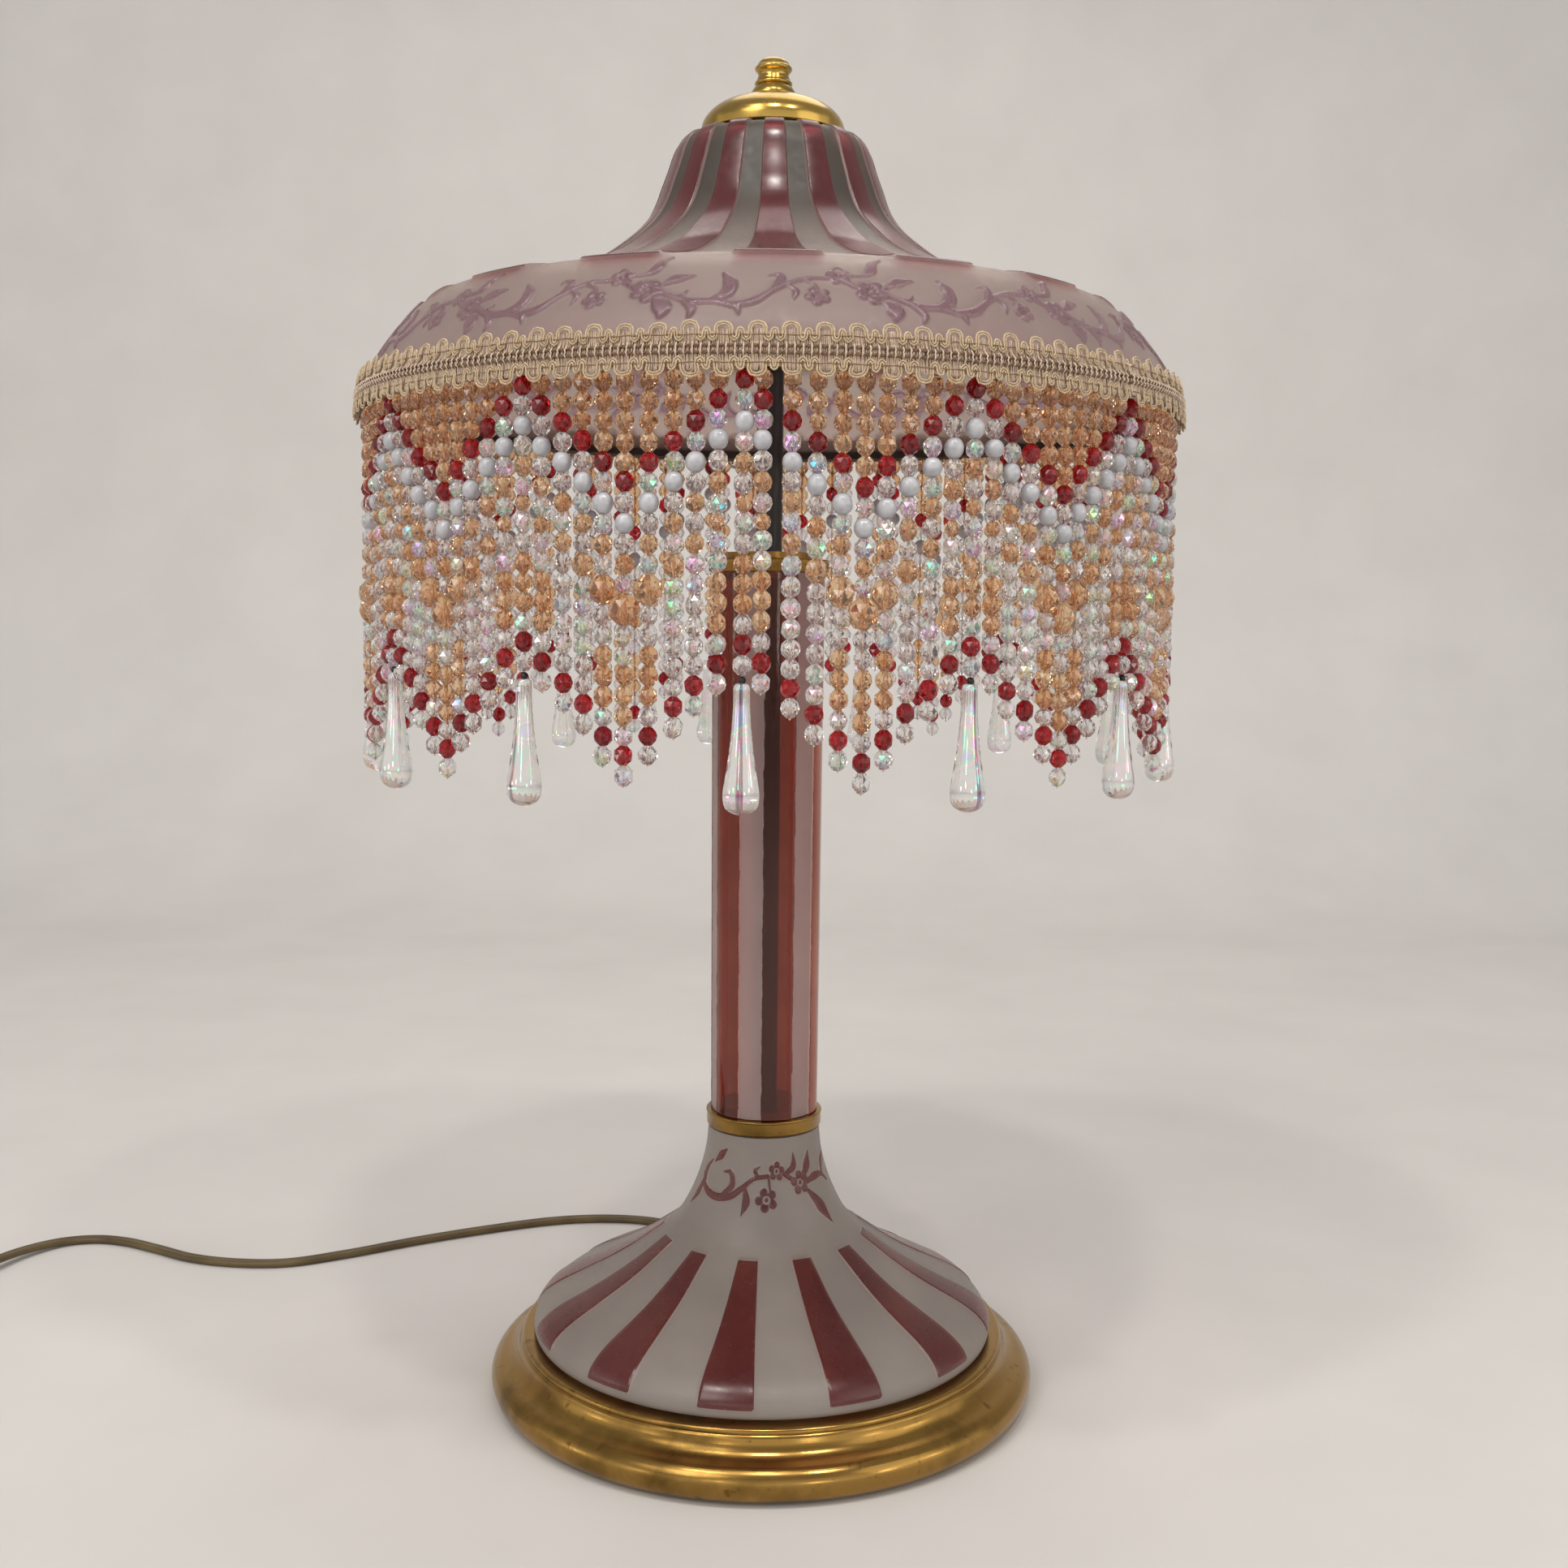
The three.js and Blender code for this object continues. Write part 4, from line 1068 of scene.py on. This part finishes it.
def base_vine(u, v):
    """One repeat of the floral band: u along, v up from its lower edge, in mm."""
    parts = [
        limb(u, v, [(-33, 14), (-30, 9.6), (-23, 7), (-15, 8), (-9.4, 12), (-5, 15.4), (1, 16.4)],
             [0.3, 1.3, 1.5, 1.3, 0.9, 0.9]),
        limb(u, v, [(-30, 10), (-31, 15.6), (-27.4, 20)], [0.7, 1.3, 0.3]),
        limb(u, v, [(-26, 19.4), (-23, 22), (-19, 25.4)], [0.4, 1.9, 0.3]),
        limb(u, v, [(-18, 8.6), (-14.4, 12.4), (-16, 16.8), (-20, 16.4)], [0.8, 1.4, 1.1, 0.3]),
        limb(u, v, [(-8.6, 11.6), (-7.6, 7), (-9, 1.8)], [0.8, 1.7, 0.2]),
        limb(u, v, [(-31, 12), (-33, 5), (-35.6, 0.6)], [0.9, 1.7, 0.2]),
        limb(u, v, [(8.6, 16.8), (13, 19.4), (13.4, 25)], [0.7, 1.6, 0.2]),
        limb(u, v, [(17, 14.6), (20.4, 18.6), (22.4, 24.6)], [0.8, 2.2, 0.2]),
        limb(u, v, [(19, 12.6), (24, 13.8), (30, 13.4), (34, 10)], [0.9, 1.7, 1.0, 0.5]),
        limb(u, v, [(19, 9.4), (22.6, 4.6), (26.4, -4)], [0.8, 2.6, 0.2]),
        limb(u, v, [(1.4, 16), (2, 11)], [0.6, 0.5]),
        limb(u, v, [(8.2, 17), (12, 14.6)], [0.9, 0.9]),
        limb(u, v, [(30, 13), (32.6, 18), (36, 21)], [0.6, 1.6, 0.2]),
        limb(u, v, [(-3, 16), (-4.6, 18.6), (-2.4, 20)], [0.7, 0.9, 0.3]),
        flower(u, v, (5, 18.2), 3.8, 0.2),
        flower(u, v, (0.4, 7.8), 4.6, 0.7),
        flower(u, v, (15.6, 13), 4.6, 0.4),
    ]
    return joined(parts)


def base_glass():
    rim = [(88.6, 23.25), (89.5, 23.7)]
    body = spline([(89.9, 24.8), (89.8, 26.6), (88.7, 29.8), (85.6, 33.4), (80, 37.2), (70, 42.2), (60, 47.4),
                   (52, 52.2), (46, 56.4), (38.6, 61.8), (35.2, 65)], 64)
    neck = spline([(34.9, 65.3), (32.3, 68.8), (27.4, 78.7), (24.6, 86.8), (22.8, 95), (22.1, 102.6)], 62)
    outer = np.vstack([rim, body, neck])
    inner = np.vstack([[(18.9, 102.6)], inset(neck, GLASS_WALL)[3::4], inset(body, GLASS_WALL)[2::4][:-1],
                       [(86.2, 25.4), (85.6, 23.25)]])
    run = np.concatenate([[0], np.cumsum(np.linalg.norm(np.diff(outer, axis=0), axis=1))])

    def stripes(phi, along, z):
        level = np.interp(along[:, 0], run, outer[:, 0])[:, None]
        share = np.interp(level, [38, 90], [0.37, 0.43])
        side = stripe_distance(phi, level, 12, -7.9, share)
        end = (61.4 - z) * 1.25
        return np.minimum(np.minimum(side, end), along - 4.6)

    def sprig(phi, along, z):
        local = (phi - math.radians(2) + math.pi / 2) % math.pi - math.pi / 2
        return base_vine(local * 27.5, (z - 72.8) * 1.03)

    def pattern(phi, along, z):
        return np.maximum(stripes(phi, along, z), sprig(phi, along, z))

    material = glass_shader("base_cameo", [(0.46, 0.41, 0.375), (0.54, 0.485, 0.44)],
                            [(0.25, 0.045, 0.046), (0.4, 0.1, 0.085)], frost=(0.4, 0.54), gloss=(0.2, 0.28),
                            through=(0.62, 0.8))
    glass = relief_shell("base_glass_bell", outer, inner, 720,
                         lambda p, a, z: 0.6 * smoothstep(pattern(p, a, z), -0.3, 0.3) - 0.5,
                         lambda p, a, z: as_mask(pattern(p, a, z), 1.4), material)
    carry(glass, "stand", "base_glass", "base_glass")


# ---- Braid --------------------------------------------------------------------------------------

BRAID_REPEATS = 96
BRAID_PITCH = 9.86
BRAID_GAP = 49.5
BRAID_MIDDLE = 377.15
# One repeat of the looped pair of cords, along and outwards from its line of stitching, in mm.
LOOPS = [
    (-2.15, 0),
    (-2.25, 1.5),
    (-1.6, 2.65),
    (0, 3.1),
    (1.6, 2.65),
    (2.25, 1.5),
    (2.15, 0),
    (2.35, -1.2),
    (3.2, -1.95),
    (4.05, -1.2),
    (4.2, 0),
    (4.4, 0.85),
    (4.93, 1.2),
    (5.46, 0.85),
    (5.66, 0),
    (5.81, -1.2),
    (6.66, -1.95),
    (7.51, -1.2),
]


def braid_point(azimuth, across, proud):
    """A place on the braid: azimuth in degrees, across in mm above its middle line, proud in mm."""
    z = BRAID_MIDDLE + 0.985 * across
    radius = 150.75 - 0.14 * across + proud
    a = np.radians(azimuth)
    return np.stack([radius * np.sin(a), -radius * np.cos(a), z + 0 * a], -1)


def braid_shader(name, dark, light):
    shader = Shader(name, Roughness=0.75, Sheen_Weight=0.3, Sheen_Roughness=0.4)
    tone = shader.spread(shader.field("tone"), 0, 1, 0.72, 1.18)
    colour = shader.ramp(shader.noise(1100, 3), [(0.3, dark), (0.7, light)])
    tint = shader.node("ShaderNodeCombineColor", {0: tone, 1: tone, 2: tone}).outputs[0]
    shader.link(shader.mix(1.0, colour, tint, "MULTIPLY"), "Base Color")
    shader.bump(shader.noise(2600, 2, vector=shader.scaled(1, 1, 0.5)), 0.0002, 0.6)
    return shader.material


def braid():
    materials = [
        braid_shader("gimp_cord", (0.42, 0.3, 0.17), (0.64, 0.5, 0.33)),
        braid_shader("gimp_warp", (0.5, 0.37, 0.27), (0.72, 0.58, 0.45)),
        braid_shader("gimp_brown", (0.13, 0.068, 0.035), (0.26, 0.15, 0.085)),
        braid_shader("gimp_backing", (0.3, 0.2, 0.12), (0.42, 0.3, 0.2)),
    ]
    soup = Soup()
    start = BRAID_GAP + 0.35
    sweep_angle = 359.3
    backing(soup, start, sweep_angle)
    loops(soup, start, sweep_angle)
    threads(soup, start, sweep_angle)
    for across in (1.0, -1.0):
        for ply in (0, math.pi):
            turns = 330
            t = np.linspace(0, 1, turns * 6)
            twist = 2 * math.pi * turns * t + ply
            height = across + 0.28 * np.sin(twist)
            points = braid_point(start + sweep_angle * t, height, 0.85 + 0.28 * np.cos(twist))
            soup.add(*radial_sweep(points, 0.38, 6), slot=2, tone=0.45)
    for across in (4.1, -4.1):
        t = np.linspace(0, 1, 768)
        height = across + 0.1 * np.sin(t * 900)
        points = braid_point(start + sweep_angle * t, height, 1.3 + 0.12 * np.sin(t * 1700))
        soup.add(*radial_sweep(points, 0.2, 6), slot=2, tone=0.7)
    obj = soup.object("gimp_braid", materials)
    carry(obj, "shade", "braid", "braid")


def backing(soup, start, sweep_angle):
    """The woven ground of the braid."""
    profile = []
    for across, proud in [(-5.0, -0.45), (5.0, -0.45), (5.0, 0.15), (-5.0, 0.15)]:
        profile.append((150.75 - 0.14 * across + proud, BRAID_MIDDLE + 0.985 * across))
    steps = 260
    turn = np.radians(np.linspace(start, start + sweep_angle, steps))
    rows = [[(r * math.sin(a), -r * math.cos(a), z) for a in turn] for r, z in profile]
    faces = grid_faces(4, steps, wrap_rows=True, wrap_columns=False)
    faces += [(0, steps, 2 * steps, 3 * steps), (4 * steps - 1, 3 * steps - 1, 2 * steps - 1, steps - 1)]
    soup.add(np.array(rows).reshape(-1, 3) * MM, faces, slot=3, smooth=False)


def loops(soup, start, sweep_angle):
    """Two parallel cords that wander along each edge in large and small loops."""
    step = sweep_angle / BRAID_REPEATS
    half = BRAID_PITCH / 2
    for edge in (1, -1):
        lean = rng.normal(0, 0.35, BRAID_REPEATS)
        grow = 1 + rng.normal(0, 0.09, BRAID_REPEATS)
        middle = []
        for i in range(BRAID_REPEATS):
            for x, y in LOOPS:
                tall = max(0, y) / 3.1
                middle.append((i * BRAID_PITCH + half + x + lean[i] * tall, y * (grow[i] if y > 1.3 else 1)))
        middle = np.array(middle)
        closer = []
        for here, there in zip(middle[:-1], middle[1:]):
            closer += [here, here * 0.5 + there * 0.5]
        middle = np.array(closer)
        along = np.gradient(middle, axis=0)
        along /= np.linalg.norm(along, axis=1)[:, None]
        for cord_side in (-0.38, 0.38):
            x = middle[:, 0] - cord_side * along[:, 1]
            y = middle[:, 1] + cord_side * along[:, 0]
            azimuth = start + np.clip(x / BRAID_PITCH * step, 0.02, sweep_angle)
            proud = 1.15 + 0.15 * np.sin(x * 1.3 + edge) - 0.35 * smoothstep(y, 0.8, 3)
            points = braid_point(azimuth, edge * (4.62 + y), proud)
            soup.add(*radial_sweep(points, 0.31, 6), slot=0, tone=0.55 + 0.3 * cord_side)


def threads(soup, start, sweep_angle):
    """Warp threads: they reach up into the large loops, and every fourth one binds the brown cords."""
    each = 16
    for i in range(BRAID_REPEATS * each):
        place = start + (i + 0.5) * sweep_angle / (BRAID_REPEATS * each)
        inside_loop = abs(i % each - (each - 1) / 2) < 3
        heights = np.linspace(-1, 1, 17) * (6.3 if inside_loop else 5.1)
        level = np.abs(heights)
        binds = i % 4 == 1
        wander = rng.normal(0, 0.05) + 0.05 * np.sin(heights * rng.uniform(0.5, 1.2))
        proud = 0.5 + 0.12 * np.cos(heights) - 0.06 * level * inside_loop
        if binds:
            proud += 0.95 * np.exp(-((level - 1.0) ** 2) / 0.32) + 0.5 * (level < 1.0)
        tone = rng.uniform(0.6, 1.0) if binds else rng.uniform(0.25, 0.85)
        path = braid_point(place + wander * (0.4 if binds else 1), heights, proud)
        soup.add(*radial_sweep(path, 0.29, 4), slot=1, tone=float(tone))


def radial_sweep(path, radius, sides):
    """A tube along a path that stays on the braid's face."""
    return sweep(path, ring_section(radius, sides), up=path * (1, 1, 0))


# ---- Bead fringe --------------------------------------------------------------------------------

STRANDS = 10
FRINGE_PHASE = -2.9
FRINGE_RADIUS = 147.5
FIRST_BEAD = 369.0
# One strand of the first scallop has slid sideways: its place from the peak, and how far in mm.
SLID_PLACE = 1
SLID = -1.4
BEAD = 6.0
SPACE = 0.03
AMBER, RUBY, CLEAR, PEARL, RAINBOW, THREAD, JET = range(7)
LETTERS = {"A": AMBER, "R": RUBY, "C": CLEAR, "W": PEARL}
# Beads from the braid downwards, for strands 0 to 5 places from a scallop peak. A digit after a
# letter gives a bead of another size, in mm (0 stands for 10).
STRAND_BEADS = (
    "R C W C A C A5 C C A A A C R C",
    "A R C W C A C A5 C C A A A C R C",
    "A A R C W C A C A C C C C C C R C",
    "A A A R C W C A C A7 C C C C C C R C",
    "A A A A R C W C A C A9 C C A A A C R C",
    "A A A A A R C W C A C A0 C C A A A C R C",
)


def faceted_bead():
    """A fire-polished bead of 6 mm with its thread hole: eight facets round, in rows."""
    rings = [(0.42, -2.6), (1.2, -2.72), (2.66, -1.4), (2.95, 0.0), (2.66, 1.4), (1.2, 2.72), (0.42, 2.6)]
    verts = []
    for level, (radius, z) in enumerate(rings):
        shift = 0.5 if level in (2, 4) else 0.0
        for i in range(8):
            a = 2 * math.pi * (i + shift) / 8
            verts.append((radius * math.cos(a), radius * math.sin(a), z))
    faces = []
    for i in range(8):
        j = (i + 1) % 8
        h = (i - 1) % 8
        faces.append((24 + i, 16 + i, 24 + j, 32 + i))
        faces.append((24 + i, 32 + i, 32 + h))
        faces.append((24 + i, 16 + h, 16 + i))
        faces.append((32 + i, 40 + j, 40 + i))
        faces.append((32 + h, 32 + i, 40 + i))
        faces.append((16 + i, 8 + i, 8 + j))
        faces.append((16 + i, 16 + h, 8 + i))
        faces.append((40 + i, 40 + j, 48 + j, 48 + i))
        faces.append((8 + j, 8 + i, i, j))
        faces.append((48 + i, 48 + j, j, i))
    smooth = [k % 10 == 9 for k in range(len(faces))]
    return np.array(verts), faces, smooth


def round_bead():
    """A smooth 6 mm pearl with its hole."""
    rows = 10
    angles = np.linspace(-1.43, 1.43, rows)
    n = 14
    turn = np.linspace(0, 2 * math.pi, n, endpoint=False)
    verts = [(3.02 * math.cos(a) * math.cos(t), 3.02 * math.cos(a) * math.sin(t), 2.95 * math.sin(a))
             for a in angles for t in turn]
    return np.array(verts), grid_faces(rows, n, wrap_rows=True), [True] * (rows * n)


def bead_glass(name, dark, light, through):
    shader = Shader(name, Roughness=0.015, IOR=1.52, Transmission_Weight=through)
    shader.link(shader.ramp(shader.field("tone"), [(0.0, dark), (1.0, light)]), "Base Color")
    return shader


def rainbow_glass(name):
    """Clear glass with a vapour coating whose thickness, and so its flash of colour, varies by bead."""
    shader = bead_glass(name, (0.94, 0.92, 0.93), (1.0, 0.99, 0.98), through=0.95)
    shader.bsdf.inputs["Thin Film IOR"].default_value = 2.1
    thickness = shader.spread(shader.field("tone"), 0, 1, 230, 520)
    shader.link(thickness, "Thin Film Thickness")
    return shader


def pearl_shader():
    shader = Shader("bead_pearl", Roughness=0.2, Subsurface_Weight=0.25, Coat_Weight=0.3, Coat_Roughness=0.1)
    shader.bsdf.inputs["Subsurface Radius"].default_value = (0.002, 0.002, 0.002)
    cloud = shader.noise(420, 3)
    shader.mottle(cloud, (0.41, 0.41, 0.44), (0.56, 0.56, 0.585))
    return shader.material


def thread_shader():
    shader = Shader("bead_thread", Roughness=0.6)
    shader.mottle(shader.noise(900), (0.62, 0.5, 0.4), (0.85, 0.75, 0.64))
    return shader.material


def fringe():
    materials = [
        bead_glass("bead_amber", (0.9, 0.54, 0.29), (0.97, 0.71, 0.46), through=0.94).material,
        bead_glass("bead_ruby", (0.33, 0.006, 0.012), (0.6, 0.016, 0.026), through=0.88).material,
        bead_glass("bead_clear", (0.94, 0.91, 0.92), (1.0, 0.99, 0.98), through=0.95).material,
        pearl_shader(),
        rainbow_glass("bead_rainbow").material,
        thread_shader(),
        jet_shader(),
    ]
    crystal = crystal_shader()
    facets = faceted_bead()
    pearl = round_bead()
    for period in range(PERIODS):
        number = f"{period + 1:02d}"
        centre = FRINGE_PHASE + period * 360 / PERIODS
        soup = Soup()
        for k in range(-4, 6):
            slid = SLID if period == 0 and k == SLID_PLACE else rng.normal(0, 0.35)
            azimuth = centre + k * 360 / (PERIODS * STRANDS)
            strand(soup, azimuth, STRAND_BEADS[abs(k)].split(), facets, pearl, slid, k == 0)
        beads = soup.object(f"bead_strands_{number}", materials)
        carry(beads, f"fringe_{number}", "bead_fringe", f"fringe_panel_{number}")
        crystal_drop(number, centre, crystal)


def strand(soup, azimuth, beads, facets, pearl, nudge, holds_drop):
    """One thread of beads that hangs from the braid. The strand with the drop is strung to its length."""
    sizes = [{"": BEAD, "0": 10.0}.get(code[1:], float(code[1:] or 0)) for code in beads]
    uneven = rng.normal(1, 0.035, len(beads))
    nominal = sum(sizes) + SPACE * len(beads)
    tall = np.array(sizes) * uneven
    if holds_drop or tall.sum() > nominal:
        tall *= nominal / (tall.sum() + SPACE * len(beads))
    sway = rng.normal(0, 0.0022, 2)
    out = polar(1, azimuth, 0) / MM
    across = Vector((-out.y, out.x, 0))
    z = FIRST_BEAD + BEAD / 2
    for code, size, height in zip(beads, sizes, tall):
        kind = LETTERS[code[0]]
        if kind == CLEAR and rng.random() < 0.55:
            kind = RAINBOW
        shape = pearl if kind == PEARL else facets
        z -= height / 2
        drop = FIRST_BEAD - z
        shift = sway * drop + rng.normal(0, 0.07, 2)
        centre = out * (FRINGE_RADIUS + shift[0]) + across * (nudge + shift[1])
        scale = size / BEAD * (1 + rng.normal(0, 0.02))
        turn = rng.uniform(0, 2 * math.pi)
        tip = rng.normal(0, 0.07, 2)
        base = shape[0] * (scale, scale, height / (BEAD - 0.5))
        c, s = math.cos(turn), math.sin(turn)
        x = base[:, 0] * c - base[:, 1] * s
        y = base[:, 0] * s + base[:, 1] * c
        up = base[:, 2] + tip[0] * x + tip[1] * y
        verts = np.stack([x - tip[0] * base[:, 2] + centre.x, y - tip[1] * base[:, 2] + centre.y, up + z], 1)
        soup.add(verts * MM, shape[1], slot=kind, smooth=shape[2], tone=float(rng.uniform(0, 1)))
        z -= height / 2 + SPACE
    foot = z
    shift = sway * (FIRST_BEAD - foot)
    low = out * (FRINGE_RADIUS + shift[0]) + across * (nudge + shift[1])
    top = out * FRINGE_RADIUS + across * nudge
    ends = [(top.x, top.y, 372.5), (low.x, low.y, foot - (3.4 if holds_drop else 0.3))]
    soup.add(*sweep(resample(ends, 4), ring_section(0.2, 6), up=(0.3, 1, 0)), slot=THREAD)
    knot = np.array([(low.x, low.y, foot - (1.5 if holds_drop else 0.3))])
    ball = round_bead()
    grow = 0.42 if holds_drop else 0.12
    soup.add((ball[0] * grow + knot) * MM, ball[1], slot=JET if holds_drop else THREAD)


def jet_shader():
    shader = Shader("bead_jet", Roughness=0.12)
    tone = shader.noise(500)
    shader.mottle(tone, (0.008, 0.008, 0.009), (0.02, 0.02, 0.022))
    return shader.material


def crystal_shader():
    """Clear glass with a faint rainbow coating."""
    shader = Shader("crystal_clear", Roughness=0.012, IOR=1.54, Transmission_Weight=1.0)
    shader.bsdf.inputs["Thin Film IOR"].default_value = 2.2
    shader.mottle(shader.noise(60), (0.965, 0.97, 0.955), (0.99, 0.99, 0.99))
    shader.link(shader.spread(shader.noise(70, 1), 0.35, 0.65, 260, 640), "Thin Film Thickness")
    return shader.material


def crystal_drop(number, azimuth, material):
    low, high = node_box(f"drop_{number}")
    z = high[2]
    length = z - low[2]
    outline = [(0.001, z), (1.6, z - 0.05), (2.3, z - 0.5), (2.5, z - 1.2)]
    outline += spline([(2.5, z - 2.2), (2.5, z - 6), (2.9, z - 13), (3.6, z - 20), (4.6, z - 27),
                       (5.35, z - 31.5), (5.5, z - 34), (5, z - 37), (3.3, z - length + 0.9),
                       (1.2, z - length + 0.1)], 30)
    outline.append((0.001, z - length))
    drop = spun(f"crystal_{number}", outline[::-1], material, 40, closed=False, sharp=60)
    drop.data.transform(Matrix.Translation(polar(FRINGE_RADIUS, azimuth, 0)))
    carry(drop, f"crystal_{number}", "crystal", f"drop_{number}")


# ---- Scene --------------------------------------------------------------------------------------

camera()
cord()
lighting()
stage()
brass_pieces()
hidden_pieces()
base_glass()
column()
shade()
braid()
fringe()
